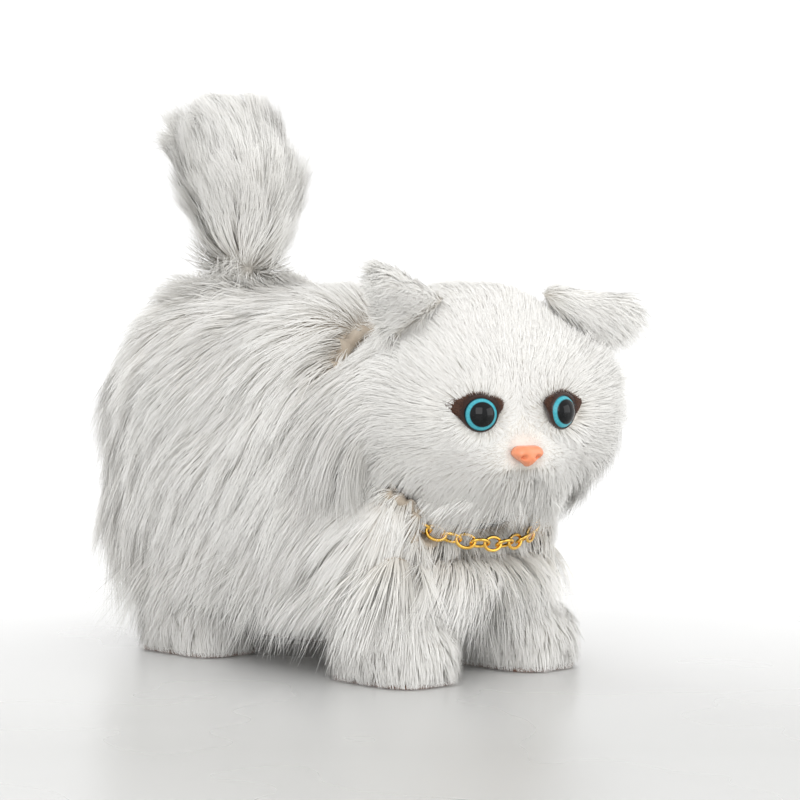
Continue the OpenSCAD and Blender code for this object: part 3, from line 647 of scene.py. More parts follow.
class KITTEN_OT_torso(bpy.types.Operator):
    """Makes the padded body and its long coat"""
    bl_idname = "kitten.torso"
    bl_label = "Body coat"

    def execute(self, context):
        pile = settings().pile
        mesh = remeshed(cad_copy("work", "torso_plush", "torso_wadding"), 2.4, "torso_pad")
        out = sunk(mesh, 5.5)
        inflate(mesh, out, 3)
        pad = new_piece("torso_pad", mesh, "torso", "backing_cloth", backing_cloth(), replaces=("torso_plush", "torso_wadding"))

        p, n = coords(mesh) / MM, normals(mesh)
        x, y, z = p.T
        upward = smooth(0.45, 0.95, n[:, 2])
        front = smooth(-52, -70, y) * smooth(-0.1, -0.6, n[:, 1])
        rump = smooth(60, 96, y) * smooth(0.0, 0.7, n[:, 1])
        under = smooth(-0.55, -0.9, n[:, 2])
        flow = rows(0.12 * np.sign(x), 0.62 - 0.42 * smooth(15, 75, y), -0.8)
        for weight, way in ((upward, rows(0.35 * x / 40, 1.0, -0.2)), (rump, rows(0.1 * x / 40, 0.05, -1.0)),
                            (front, rows(0.3 * x / 30, -0.2, -1.0))):
            flow = flow * (1 - weight)[:, None] + unit(way) * weight[:, None]
        flow = unit(flow) + 0.42 * wander(p, 24, 1) + 0.2 * wander(p, 9, 2)
        size = pile.flank / MM * (1 - upward) + pile.back / MM * upward
        size = size * (1 - front) + pile.chest / MM * front
        size = size * (1 + 0.5 * smooth(70, 42, z) * (1 - 0.8 * rump)) * (1 - 0.6 * under)
        lift = 0.34 + 0.05 * upward + 0.16 * wander(p, 16, 3)[:, 0]
        root = smooth(34, 16, np.hypot(x, y - TAIL_AT.y / MM)) * smooth(110, 125, z)  # stands up round the tail
        lift = lift + 0.75 * root
        neck = np.linalg.norm(p - np.array(HEAD_AT) / MM, axis=1)
        near_neck = smooth(52, 48.2, neck)
        size = np.where(near_neck > 0, size * (1 - 0.4 * near_neck), size)
        outer = np.maximum(out, 0)
        # the chain lies in a trough of shorter pile
        collar = np.array([COLLAR.inverted() @ Vector(q) for q in coords(mesh)]) / MM
        ring = np.hypot(np.hypot(collar[:, 0], collar[:, 1]) - settings().collar.radius / MM, collar[:, 2])
        trough = smooth(15, 5, ring)
        size *= 1 - 0.6 * trough
        lift = lift * (1 - 0.55 * trough)
        regions = {
            "coat_front": smooth(-34, -44, y),
            "coat_left": smooth(-44, -34, y) * smooth(-6, 6, x) * smooth(78, 68, y),
            "coat_right": smooth(-44, -34, y) * smooth(6, -6, x) * smooth(78, 68, y),
            "coat_rump": smooth(68, 78, y),
        }
        for index, (name, where) in enumerate(regions.items()):
            lay(mesh, flow, n, size, lift, outer * where)
            share = {"coat_front": 18500, "coat_rump": 16500}.get(name, 20500)
            grow(name, mesh, "torso", "white_pile", white_pile(), share, points=5, droop=0.2, floor=3 * MM, seed=10)
        return {"FINISHED"}


def free_run(mesh, way, reach, *nodes):
    """How far, in millimetres, each point of a skin can go along a way before it meets some CAD nodes."""
    wall = BVHTree.FromBMesh(bmesh_of(cad_copy("wall", *nodes)))
    hits = [wall.ray_cast(Vector(p), Vector(w), reach * MM)[3] for p, w in zip(coords(mesh), unit(way))]
    return np.array([reach if hit is None else hit / MM for hit in hits])


def mouth(q, width):
    """1 on the line of the mouth and 0 away from it, for points in the head's frame in millimetres."""
    x, y, z = q.T
    across = np.abs(x)
    lip = -28.5 + 2.6 * np.abs(np.sin(np.clip(across / 9, 0, 1) * np.pi)) * (across < 9)
    curved = np.exp(-((z - lip) / width) ** 2) * smooth(10, 7.5, across)
    split = np.exp(-(x / width) ** 2) * smooth(-30, -27, z) * smooth(-21, -23, z)
    return np.maximum(curved, split) * smooth(-26, -32, y)


class KITTEN_OT_head(bpy.types.Operator):
    """Makes the padded head with its short face pile and long cheeks"""
    bl_idname = "kitten.head"
    bl_label = "Head"

    def execute(self, context):
        pile = settings().pile
        mesh = remeshed(cad_copy("work", "head_plush", "head_wadding"), 2.0, "head_pad")
        into = np.array(HEAD.inverted())
        turn = into[:3, :3]
        out = outer_side(mesh, 1.4)
        q = coords(mesh) @ turn.T / MM + into[:3, 3] / MM
        depth = 2.4 + 2.0 * smooth(-20, 5, q[:, 1])
        for side in (-1, 1):  # cheeks of the muzzle beside the mouth, and the fold of each eye socket
            depth -= 2.4 * np.exp(-np.sum((q - np.array((side * 6.5, -40, -25))) ** 2, axis=1) / 30)
            depth += 1.2 * np.exp(-np.sum((q - np.array((side * 13, -38, -8))) ** 2, axis=1) / 40)
        depth -= 1.6 * np.exp(-np.sum((q - np.array((0, -36, -33))) ** 2, axis=1) / 26)
        depth += 2.2 * mouth(q, 1.8)
        set_coords(mesh, coords(mesh) - normals(mesh) * (out * depth * MM)[:, None])
        inflate(mesh, out, 2)
        pad = new_piece("head_pad", mesh, "head", "backing_cloth", white_backing(), replaces=("head_plush", "head_wadding"))

        q = coords(mesh) @ turn.T / MM + into[:3, 3] / MM
        n = normals(mesh) @ turn.T
        x, y, z = q.T
        nose = q - np.array((0, -41, -17))
        from_nose = np.linalg.norm(nose, axis=1)
        face = smooth(-8, -26, y)
        cheek = smooth(22, 36, np.abs(x)) * smooth(22, 4, z)
        crown = smooth(10, 28, z) * (1 - 0.4 * face)
        under = smooth(-0.35, -0.8, n[:, 2])
        back = smooth(0, 20, y)
        flow = rows(0.25 * np.sign(x), 0.5, -0.9)
        for weight, way in ((back, rows(0.2 * x / 30, 0.6, -0.9)), (crown, rows(0.5 * x / 40, 1.0, -0.1)),
                            (cheek, rows(0.35 * np.sign(x), 0.45, -0.95)), (face, unit(nose)), (under, rows(0.2 * x / 20, 0.5, -0.6))):
            flow = flow * (1 - weight)[:, None] + unit(way) * weight[:, None]
        eye_room = np.ones(len(q))
        for side in (-1, 1):
            into_eye = np.array(eye_frame(side).inverted())
            e = (coords(mesh) @ into_eye[:3, :3].T + into_eye[:3, 3]) / MM
            away = np.hypot((side * e[:, 0] - 2.2) / 1.6, e[:, 1])
            ring = smooth(15, 7, away) * smooth(-12, -4, e[:, 2])
            out_way = rows(e[:, 0], e[:, 1], 0) @ np.array(eye_frame(side))[:3, :3].T @ turn.T
            flow = flow * (1 - 0.7 * ring)[:, None] + unit(out_way) * (0.7 * ring)[:, None]
            eye_room *= smooth(5.0, 6.2, away)
            eye_room = np.where(e[:, 2] < -14, 1.0, eye_room)
        flow = unit(flow) + 0.3 * wander(q, 20, 4) * smooth(10, 30, from_nose)[:, None] + 0.12 * wander(q, 7, 5)
        size = pile.face / MM + 0.2 * np.maximum(0, from_nose - 10)
        size = size * (1 - crown) + (4 + 8 * smooth(-30, 5, y)) * crown
        side_hair = smooth(24, 36, np.abs(x)) * smooth(-22, -2, y) * smooth(24, 8, z)
        near_side = smooth(-18, -30, x)
        size = size + side_hair * (6 + near_side * (pile.mane / MM - 18))
        throat = smooth(-20, -30, z) * smooth(-34, -24, y) * smooth(30, 16, np.abs(x))  # hides the neck
        size = size + 5 * under + 5 * cheek + 6.5 * throat
        over_chain = smooth(-14, -26, z) * smooth(14, 24, np.abs(x)) * smooth(4, -8, y)
        size = size * (1 - 0.25 * over_chain) + 6 * back * smooth(-10, 10, z)
        size *= 1 - 0.45 * smooth(18, 9, from_nose) * (1 - under)
        size = size * (1 - 0.55 * mouth(q + np.array((0, 0, -1.2)), 2.6))
        far_cheek = smooth(14, 28, x) * smooth(24, 8, z) * smooth(-34, -22, z)
        size = size + 4 * far_cheek
        lift = 0.28 + 0.42 * under + 0.1 * wander(q, 12, 6)[:, 0] + 0.12 * side_hair + 0.25 * (cheek + far_cheek) + 0.1 * throat
        nose_room = smooth(5.2, 7.2, np.hypot(x, z + 18)) + (y > -30)
        cover = out * eye_room * np.clip(nose_room, 0, 1) * (1 - 0.9 * mouth(q, 1.0))
        flow = flow @ turn
        n_world = n @ turn
        # the pile stops short of the working parts in the neck, and doesn't grow deep into the body
        run = unit(flow - n_world * np.sum(flow * n_world, axis=1, keepdims=True)) + n_world * lift[:, None]
        reach = 60
        body_room = free_run(mesh, run, reach, "torso_plush") + 5 + 20 * side_hair * near_side
        neck_room = free_run(mesh, run, reach, "housing_base", "housing_cover", "neck_post", "neck_lining") - 2
        size = np.maximum(np.minimum(size, np.minimum(body_room, neck_room)), 1.5)
        regions = (
            ("pile_face", face, 28000, 4, 0.24, 0.2, 3.0),
            ("pile_crown", (1 - face) * smooth(-4, 8, z), 17000, 5, 0.26, 0.35, 4.0),
            ("pile_cheek_right", (1 - face) * smooth(8, -4, z) * smooth(4, -4, x), 16000, 6, 0.27, None, None),
            ("pile_cheek_left", (1 - face) * smooth(8, -4, z) * smooth(-4, 4, x), 12500, 6, 0.27, None, None),
        )
        for name, where, count, points, width, clump, lock in regions:
            lay(mesh, flow, n_world, size, lift, cover * where)
            grow(name, mesh, "head", "white_pile", white_pile(), count, points=points, width=width * MM, clump=clump,
                 lock=lock and lock * MM, seed=20)
        return {"FINISHED"}


class KITTEN_OT_ears(bpy.types.Operator):
    """Makes the two flat, soft ears"""
    bl_idname = "kitten.ears"
    bl_label = "Ears"

    def execute(self, context):
        for side, name in ((1, "left"), (-1, "right")):
            node = f"ear_{name}"
            mesh = remeshed(cad_copy("work", node), 1.3, f"ear_pad_{name}")
            p = coords(mesh)
            centre = np.array(HEAD_AT)
            tip = p[np.argmax(np.linalg.norm(p - centre, axis=1))]
            base = p[np.linalg.norm(p - centre, axis=1) < np.linalg.norm(tip - centre) - 14 * MM].mean(axis=0)
            inward = normals(mesh)
            set_coords(mesh, p - inward * 1.2 * MM)
            inflate(mesh, np.ones(len(p)), 1.0, 2.0)
            pad = new_piece(f"ear_pad_{name}", mesh, "head", "backing_cloth", white_backing(), replaces=(node,))
            p, n = coords(mesh), normals(mesh)
            way = unit(rows(*(tip - base)))
            along = np.clip(((p - base) @ way[0]) / np.linalg.norm(tip - base), 0, 1)
            flow = np.broadcast_to(way, p.shape) + 0.3 * wander(p / MM, 8, 8) + rows(0, 0, -0.5) * smooth(0.3, -0.5, n[:, 2])[:, None]
            lay(mesh, flow, n, 10 + 3 * along, 0.36 + 0.2 * along, np.ones(len(p)))
            grow(f"pile_ear_{name}", mesh, "head", "white_pile", white_pile(), 7500, points=5, width=0.24 * MM, clump=0.3,
                 frizz=0.32, lock=4 * MM, droop=0.4, seed=30)
        return {"FINISHED"}


class KITTEN_OT_tail(bpy.types.Operator):
    """Makes the padded tail and its plume"""
    bl_idname = "kitten.tail"
    bl_label = "Tail"

    def execute(self, context):
        pile = settings().pile
        mesh = remeshed(cad_copy("work", "tail_plush"), 2.0, "tail_pad")
        p, n = coords(mesh), normals(mesh)
        axis_way = rows(p[:, 0] - TAIL_AT.x, p[:, 1] - TAIL_AT.y, 0)
        spread = np.linalg.norm(axis_way, axis=1)
        outer = smooth(5.2, 6.6, spread / MM)
        outer = np.where(p[:, 2] > 0.178, 1, outer)
        depth = np.minimum(5, spread / MM * 0.35)
        set_coords(mesh, p - n * (outer * depth * MM)[:, None])
        inflate(mesh, outer, 2)
        pad = new_piece("tail_pad", mesh, "tail", "backing_cloth", white_backing(), replaces=("tail_plush",))
        p, n = coords(mesh) / MM, normals(mesh)
        x, y, z = p.T
        high = smooth(150, 195, z)
        radial = unit(rows(x, y - TAIL_AT.y / MM, 0))
        flow = rows(0, 0, 1.0) + radial * (0.25 + 0.35 * high)[:, None] + rows(-0.3, 0.35, 0) * high[:, None]
        flow = unit(flow) + 0.3 * wander(p, 18, 9)
        size = 20 + (pile.tail / MM - 20) * smooth(138, 160, z) - 4 * smooth(182, 198, z)
        skirt = smooth(156, 140, z)  # the lowest pile spreads over the joint with the back
        flow = unit(flow * (1 - skirt)[:, None] + (radial + rows(0, 0, -0.3)) * skirt[:, None]) + 0.2 * wander(p, 10, 14)
        lift = 0.42 + 0.5 * smooth(168, 142, z) + 0.1 * wander(p, 12, 10)[:, 0]
        for index, (name, where) in enumerate((("plume_front", smooth(4, -4, y - TAIL_AT.y / MM)), ("plume_back", smooth(-4, 4, y - TAIL_AT.y / MM)))):
            lay(mesh, flow, n, size, lift, outer * where)
            grow(name, mesh, "tail", "white_pile", white_pile(), 12500, points=5, droop=0.0, seed=40)
        return {"FINISHED"}


class KITTEN_OT_paws(bpy.types.Operator):
    """Makes the four padded paws, their pile and their suede soles"""
    bl_idname = "kitten.paws"
    bl_label = "Paws"

    def execute(self, context):
        pile = settings().pile
        suede = grained("Napped brown suede", hex_rgb("#7A4E31"), hex_rgb("#5B3822"), 0.95, 0.5, 0.5, 6, Sheen_Weight=0.4)
        for end, side in LEGS:
            body = f"{end}_{side}_leg"
            hip = Vector(joint(f"{end}_{side}_swing")["pos_m"])
            mesh = remeshed(cad_copy("work", f"paw_{end}_{side}"), 1.8, f"paw_pad_{end}_{side}")
            p, n = coords(mesh), normals(mesh)
            local = (p - np.array((hip.x, hip.y, 0))) / MM
            hollow = outer_side(mesh, 2.0)
            ankle = smooth(27, 30, local[:, 2])
            outer = np.maximum(hollow, ankle * (np.hypot(local[:, 0], local[:, 1]) > 8.5)) * smooth(1.2, 3.5, local[:, 2])
            set_coords(mesh, p - n * (outer * 2.6 * MM)[:, None])
            inflate(mesh, outer, 1.5)
            pad = new_piece(f"paw_pad_{end}_{side}", mesh, body, "backing_cloth", white_backing(), replaces=(f"paw_{end}_{side}",))
            p, n = coords(mesh), normals(mesh)
            local = (p - np.array((hip.x, hip.y, 0))) / MM
            top = smooth(0.4, 0.9, n[:, 2])
            flow = rows(0.1 * np.sign(local[:, 0]), -0.25, -1.0)
            flow = flow * (1 - top)[:, None] + rows(0.1 * local[:, 0] / 10, -1.0, -0.15) * top[:, None]
            flow = unit(flow) + 0.3 * wander(p / MM, 9, 11)
            size = pile.paw / MM + 5 * smooth(20, 30, local[:, 2])
            size = np.minimum(size, np.maximum(3.5, local[:, 2] * 1.1))
            bulge = np.sin(np.pi * np.clip(local[:, 2] / 26, 0, 1))  # the pile stands out most half way up
            lay(mesh, flow, n, size, 0.3 + 0.55 * bulge * (1 - top), outer)
            grow(f"pile_paw_{end}_{side}", mesh, body, "white_pile", white_pile(), 9500, points=4, width=0.26 * MM,
                 clump=0.35, lock=3.5 * MM, floor=0.4 * MM, seed=50)
            sole = cad_copy(f"sole_pad_{end}_{side}", f"sole_{end}_{side}")
            bm = bmesh.new()
            bm.from_mesh(sole)
            bmesh.ops.dissolve_limit(bm, angle_limit=0.02, verts=bm.verts, edges=bm.edges)
            bm.to_mesh(sole)
            bm.free()
            piece = new_piece(f"sole_pad_{end}_{side}", sole, body, "brown_suede", suede, replaces=(f"sole_{end}_{side}",))
            bevel = piece.modifiers.new("Edge", "BEVEL")
            bevel.width, bevel.segments, bevel.limit_method = 0.45 * MM, 3, "ANGLE"
        return {"FINISHED"}


# ---- face ----

def ring_grid(bm, rings, close_inner=True):
    """Joins rings of points, each a list of the same length, into a smooth skin. The first may close to a pole."""
    loops = [[bm.verts.new(p) for p in ring] for ring in rings]
    count = len(loops[0])
    for a, b in zip(loops, loops[1:]):
        for i in range(count):
            j = (i + 1) % count
            bm.faces.new((a[i], a[j], b[j], b[i]))
    if close_inner:
        bm.faces.new(loops[0])
    bm.faces.new(loops[-1])
    return loops


def almond(angle, side):
    """Radius of an eye's dark surround in millimetres: a pointed outer corner, and a lower, blunter inner one."""
    tilt = angle - math.radians(17)
    outer = math.atan2(math.sin(tilt), math.cos(tilt))
    inner = math.pi - abs(math.atan2(math.sin(angle + math.radians(26)), math.cos(angle + math.radians(26))))
    brow = 0.7 * max(0.0, math.sin(angle))
    return 6.2 + brow + 4.6 * math.exp(-(outer / 0.24) ** 2) + 1.7 * math.exp(-(outer / 0.62) ** 2) + 2.0 * math.exp(-(inner / 0.34) ** 2)


def acrylic_eye():
    """Clear acrylic dome over a painted disc: black pupil, turquoise ring, dark edge, a wet shine on top."""
    face = settings().face
    material, tree, shader = finish("Painted acrylic eye", tuple(face.iris), 0.3, Coat_Weight=1.0, Coat_Roughness=0.02, Coat_IOR=1.36,
                                    Specular_IOR_Level=0.0)
    if tree is None:
        return material
    chart = put(tree, "ShaderNodeUVMap", uv_map="eye_chart").outputs[0]
    parts = put(tree, "ShaderNodeSeparateXYZ", {0: chart}).outputs
    where = object_space(tree)
    fleck = put(tree, "ShaderNodeTexNoise", {"Vector": where, "Scale": 1 / (0.7 * MM), "Detail": 2.0}).outputs[0]
    deep = put(tree, "ShaderNodeMix", {0: fleck, 6: (*face.iris, 1), 7: (*hex_rgb("#5FC3CF"), 1)}, data_type="RGBA").outputs[2]
    pupil = put(tree, "ShaderNodeMapRange", {"Value": parts[0], "From Min": 0.70, "From Max": 0.76}).outputs[0]
    edge = put(tree, "ShaderNodeMapRange", {"Value": parts[1], "From Min": 0.88, "From Max": 0.95}).outputs[0]
    dark = (*hex_rgb("#06080A"), 1)
    ring = put(tree, "ShaderNodeMix", {0: pupil, 6: dark, 7: deep}, data_type="RGBA").outputs[2]
    whole = put(tree, "ShaderNodeMix", {0: edge, 6: ring, 7: (*hex_rgb("#0B2A31"), 1)}, data_type="RGBA").outputs[2]
    tree.links.new(whole, shader.inputs["Base Color"])
    return material


class KITTEN_OT_eyes(bpy.types.Operator):
    """Makes the domed eyes and the dark napped almonds round them"""
    bl_idname = "kitten.eyes"
    bl_label = "Eyes"

    def execute(self, context):
        face = settings().face
        radius, dome = face.eye / 2 / MM, face.dome / MM
        ball = (radius ** 2 + dome ** 2) / (2 * dome)
        suede = grained("Dark brown napped cloth", tuple(face.rim), hex_rgb("#241009"), 0.9, 0.3, 0.4, 3, Sheen_Weight=0.3)
        # painted shade: the nap's root colour #1E0F09 is the darkest, for the shade deep in the nap
        lash = pile_finish("Dark brown nap", hex_rgb("#1E0F09"), tuple(face.rim), hex_rgb("#5A3826"), 0.6)
        for side, name in ((1, "left"), (-1, "right")):
            place = eye_frame(side)
            bm = bmesh.new()
            turns = np.linspace(0, 2 * math.pi, 64, endpoint=False)
            radii = radius * np.sin(np.linspace(0.03, math.pi / 2, 20))
            rings = [[(r * math.cos(a), r * math.sin(a), dome - ball + math.sqrt(ball ** 2 - r * r)) for a in turns] for r in radii]
            rings += [[(radius * math.cos(a), radius * math.sin(a), -1.2) for a in turns]]
            ring_grid(bm, rings)
            mesh = from_bmesh(bm, f"eye_dome_{name}")
            flat = coords(mesh)
            chart = mesh.uv_layers.new(name="eye_chart")
            pupil = np.hypot(flat[:, 0] + side * 0.35, flat[:, 1] - 0.1) / radius
            iris = np.hypot(flat[:, 0] + side * 0.25, flat[:, 1]) / radius
            for loop in mesh.loops:
                chart.data[loop.index].uv = (pupil[loop.vertex_index], iris[loop.vertex_index])
            mesh.transform(place @ Matrix.Scale(MM, 4))
            new_piece(f"eye_dome_{name}", mesh, "head", "eye_acrylic", acrylic_eye(), replaces=(f"eye_{name}",))

            bm = bmesh.new()
            steps = np.linspace(0, 1, 10)
            outline = [almond(a if side > 0 else math.pi - a, side) for a in turns]

            def ring(k, drop):
                points = []
                for a, far in zip(turns, outline):
                    r = 5.5 + (far - 5.5) * k
                    height = 1.0 - r * r / 70 - drop + 0.5 * math.sin(k * math.pi)
                    points.append((r * math.cos(a), r * math.sin(a), height))
                return points
            rings = [ring(k, 0) for k in steps] + [ring(1.0, 1.8)] + [ring(0.0, 1.8)]
            loops = [[bm.verts.new(p) for p in points] for points in rings]
            loops.append(loops[0])
            for low, high in zip(loops, loops[1:]):
                for i in range(64):
                    bm.faces.new((low[i], low[(i + 1) % 64], high[(i + 1) % 64], high[i]))
            mesh = from_bmesh(bm, f"eye_surround_{name}")
            flat = coords(mesh)
            mesh.transform(place @ Matrix.Scale(MM, 4))
            new_piece(f"eye_surround_{name}", mesh, "head", "brown_suede", suede)
            spread = np.hypot(flat[:, 0], flat[:, 1])
            turned = np.array(place)[:3, :3]
            flow = rows(flat[:, 0] / spread, flat[:, 1] / spread, 0) @ turned.T
            top = smooth(0.2, 0.6, normals(mesh) @ turned[:, 2])
            lay(mesh, flow + 0.2 * wander(coords(mesh) / MM, 3, 12), normals(mesh), 1.0 + 0.9 * smooth(2, 6, flat[:, 1]), 0.2, top * smooth(6.4, 7.2, spread))
            grow(f"eye_nap_{name}", mesh, "head", "brown_suede", lash, 1300, points=4, width=0.14 * MM, clump=0.1, lock=1 * MM,
                 droop=0.0, seed=60)
        return {"FINISHED"}


class KITTEN_OT_nose(bpy.types.Operator):
    """Makes the moulded nose with its nostrils"""
    bl_idname = "kitten.nose"
    bl_label = "Nose"

    def execute(self, context):
        face = settings().face
        half = face.nose / 2 / MM
        turns = np.linspace(0, 2 * math.pi, 72, endpoint=False)

        def point(r, a):
            u, v = r * math.cos(a), r * math.sin(a)
            wide = 0.30 + 0.70 * float(smooth(-1.05, 0.2, v))
            x = u * half * wide
            y = v * 4.3 - 1.3 * max(v, 0) ** 3 * (1 - 0.4 * u * u)
            z = 3.8 * max(0.0, 1 - r ** 3) ** 0.55
            for side in (-1, 1):
                z -= 2.2 * math.exp(-((x - side * 2.7) ** 2 / 1.0 + (y + 0.9) ** 2 / 0.6))
                z += 0.35 * math.exp(-((x - side * 3.9) ** 2 + (y + 0.5) ** 2) / 1.6)
            z -= 0.5 * math.exp(-(x / 0.6) ** 2) * float(smooth(-0.8, -3.2, y))
            return (x, y, z - 0.6)
        radii = np.linspace(0.02, 1, 34) ** 0.8
        bm = bmesh.new()
        back = [(point(1, a)[0], point(1, a)[1], -1.6) for a in turns]
        ring_grid(bm, [[point(r, a) for a in turns] for r in radii] + [back])
        mesh = from_bmesh(bm, "nose_cap")
        mesh.transform(NOSE @ Matrix.Scale(MM, 4))
        vinyl = grained("Soft moulded coral vinyl", tuple(face.nose_colour), hex_rgb("#F2A37C"), 0.38, 0.25, 0.06, 4,
                        Coat_Weight=0.25, Coat_Roughness=0.25, Subsurface_Weight=0.0)
        new_piece("nose_cap", mesh, "head", "pink_vinyl", vinyl, replaces=("nose",))
        return {"FINISHED"}


# ---- collar ----

def chain_tree():
    """Geometry Nodes tree of a curb chain: oval links round a circle, rolled in turn one way and the other."""
    tree = bpy.data.node_groups.new("Curb chain", "GeometryNodeTree")
    for name, kind, default in (
        ("Path", "NodeSocketGeometry", None), ("Radius", "NodeSocketFloat", 0.037), ("Links", "NodeSocketInt", 42),
        ("Link length", "NodeSocketFloat", 0.0084), ("Link width", "NodeSocketFloat", 0.006), ("Wire", "NodeSocketFloat", 0.0011),
        ("Roll", "NodeSocketFloat", 0.5), ("Finish", "NodeSocketMaterial", None),
    ):
        socket = tree.interface.new_socket(name, in_out="INPUT", socket_type=kind)
        if default is not None:
            socket.default_value = default
    tree.interface.new_socket("Chain", in_out="OUTPUT", socket_type="NodeSocketGeometry")
    given = tree.nodes.new("NodeGroupInput").outputs

    def maths(operation, a, b=0.0):
        return put(tree, "ShaderNodeMath", {0: a, 1: b}, operation=operation).outputs[0]
    path = put(tree, "GeometryNodeCurvePrimitiveCircle", {"Resolution": 128, "Radius": given["Radius"]}).outputs[0]
    path = put(tree, "GeometryNodeTransform", {"Geometry": path, "Rotation": (0, 0, math.pi / 2)}).outputs[0]
    spots = put(tree, "GeometryNodeCurveToPoints", {"Curve": path, "Count": given["Links"]}, mode="COUNT")
    place = tree.nodes.new("GeometryNodeInputPosition").outputs[0]
    number = tree.nodes.new("GeometryNodeInputIndex").outputs[0]
    first = put(tree, "FunctionNodeCompare", {2: number, 3: 0}, data_type="INT", operation="EQUAL").outputs[0]
    turned = put(tree, "FunctionNodeAxesToRotation", {"Primary Axis": spots.outputs["Tangent"], "Secondary Axis": place},
                 primary_axis="X", secondary_axis="Z").outputs[0]
    odd = maths("MODULO", number, 2.0)
    roll = maths("MULTIPLY", given["Roll"], maths("SUBTRACT", maths("MULTIPLY", odd, 2.0), 1.0))
    rolled = put(tree, "FunctionNodeAxisAngleToRotation", {"Axis": (1, 0, 0), "Angle": roll}).outputs[0]
    turned = put(tree, "FunctionNodeRotateRotation", {"Rotation": turned, "Rotate By": rolled}, rotation_space="LOCAL").outputs[0]
    oval = put(tree, "GeometryNodeCurvePrimitiveCircle", {"Resolution": 20, "Radius": 0.5}).outputs[0]
    size = put(tree, "ShaderNodeCombineXYZ", {0: maths("SUBTRACT", given["Link length"], given["Wire"]),
                                              1: maths("SUBTRACT", given["Link width"], given["Wire"]), 2: 1.0}).outputs[0]
    oval = put(tree, "GeometryNodeTransform", {"Geometry": oval, "Scale": size}).outputs[0]
    wire = put(tree, "GeometryNodeCurvePrimitiveCircle", {"Resolution": 8, "Radius": maths("MULTIPLY", given["Wire"], 0.5)}).outputs[0]
    link = put(tree, "GeometryNodeCurveToMesh", {"Curve": oval, "Profile Curve": wire}).outputs[0]
    links = put(tree, "GeometryNodeInstanceOnPoints", {"Points": spots.outputs["Points"], "Instance": link, "Rotation": turned}).outputs[0]
    links = put(tree, "GeometryNodeDeleteGeometry", {"Geometry": links, "Selection": first}, domain="INSTANCE").outputs[0]
    links = put(tree, "GeometryNodeRealizeInstances", {"Geometry": links}).outputs[0]
    links = put(tree, "GeometryNodeSetShadeSmooth", {"Geometry": links}).outputs[0]
    links = put(tree, "GeometryNodeSetMaterial", {"Geometry": links, "Material": given["Finish"]}).outputs[0]
    tree.links.new(links, tree.nodes.new("NodeGroupOutput").inputs[0])
    return tree


def shaped_by(tree, name, base, **values):
    """Runs a Geometry Nodes tree on a base mesh, with its inputs set by socket identifier, and returns the plain mesh."""
    obj = loose_object(base, "base")
    modifier = obj.modifiers.new("Shape", "NODES")
    modifier.node_group = tree
    keys = {item.name: item.identifier for item in tree.interface.items_tree if item.item_type == "SOCKET" and item.in_out == "INPUT"}
    for key, value in values.items():
        modifier[keys[key.replace("_", " ")]] = value
    mesh = evaluated(obj, name)
    if not mesh.polygons:
        raise RuntimeError(f"{name}: the tree made no faces")
    return mesh


class KITTEN_OT_collar(bpy.types.Operator):
    """Makes the gold curb chain round the neck"""
    bl_idname = "kitten.collar"
    bl_label = "Collar"

    def execute(self, context):
        collar = settings().collar
        gold = grained("Gold-plated brass wire", tuple(collar.gold), hex_rgb("#F0C668"), 0.16, 0.4, 0.03, 5, metal=1.0)
        seed = bpy.data.meshes.new("path")
        mesh = shaped_by(chain_tree(), "curb_chain", seed, Radius=collar.radius, Links=collar.count, Link_length=collar.link,
                         Link_width=collar.link * 0.72, Wire=collar.wire, Finish=gold)
        mesh.transform(COLLAR)
        chain = new_piece("curb_chain", mesh, "torso", "gold_plate", replaces=("collar_chain",))
        if not chain.data.materials:
            chain.data.materials.append(gold)
        dress("collar_clasp", gold)
        return {"FINISHED"}


# ---- cloth under the body and in the neck ----

class KITTEN_OT_cloth(bpy.types.Operator):
    """Makes the cloth under the body and the dished cloth in the neck"""
    bl_idname = "kitten.cloth"
    bl_label = "Cloth"

    def execute(self, context):
        knit = knitted_cloth()
        low, high = (np.array(c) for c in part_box("belly_skin"))
        tree = BVHTree.FromBMesh(bmesh_of(frame["nodes"]["belly_skin"].data))
        step = 1.5 * MM
        xs = np.arange(low[0], high[0] + step / 2, step)
        ys = np.arange(low[1], high[1] + step / 2, step)
        middle = (low[2] + high[2]) / 2
        bm = bmesh.new()
        verts = {}

        def vert(i, j):
            if (i, j) not in verts:
                x, y = xs[i], ys[j]
                wave = 0.35 * MM * noise.noise(Vector((x, y, 0)) * 60)
                verts[i, j] = bm.verts.new((x, y, middle + wave))
            return verts[i, j]
        for i in range(len(xs) - 1):
            for j in range(len(ys) - 1):
                centre = Vector((xs[i] + step / 2, ys[j] + step / 2, low[2] - 0.01))
                if tree.ray_cast(centre, Vector((0, 0, 1)), 0.02)[0]:
                    bm.faces.new((vert(i, j), vert(i + 1, j), vert(i + 1, j + 1), vert(i, j + 1)))
        mesh = from_bmesh(bm, "belly_cloth")
        cloth = new_piece("belly_cloth", mesh, "torso", "backing_cloth", knit, replaces=("belly_skin",))
        thick = cloth.modifiers.new("Thickness", "SOLIDIFY")
        thick.thickness, thick.offset = 0.9 * MM, 0

        mesh = remeshed(cad_copy("work", "neck_lining"), 0.8, "neck_cloth")
        p = coords(mesh)
        set_coords(mesh, p + normals(mesh) * (0.25 * MM * wander(p / MM, 6, 13)[:, :1]))
        lining = new_piece("neck_cloth", mesh, "torso", "backing_cloth", knit, replaces=("neck_lining",))
        return {"FINISHED"}


def bmesh_of(mesh):
    bm = bmesh.new()
    bm.from_mesh(mesh)
    return bm


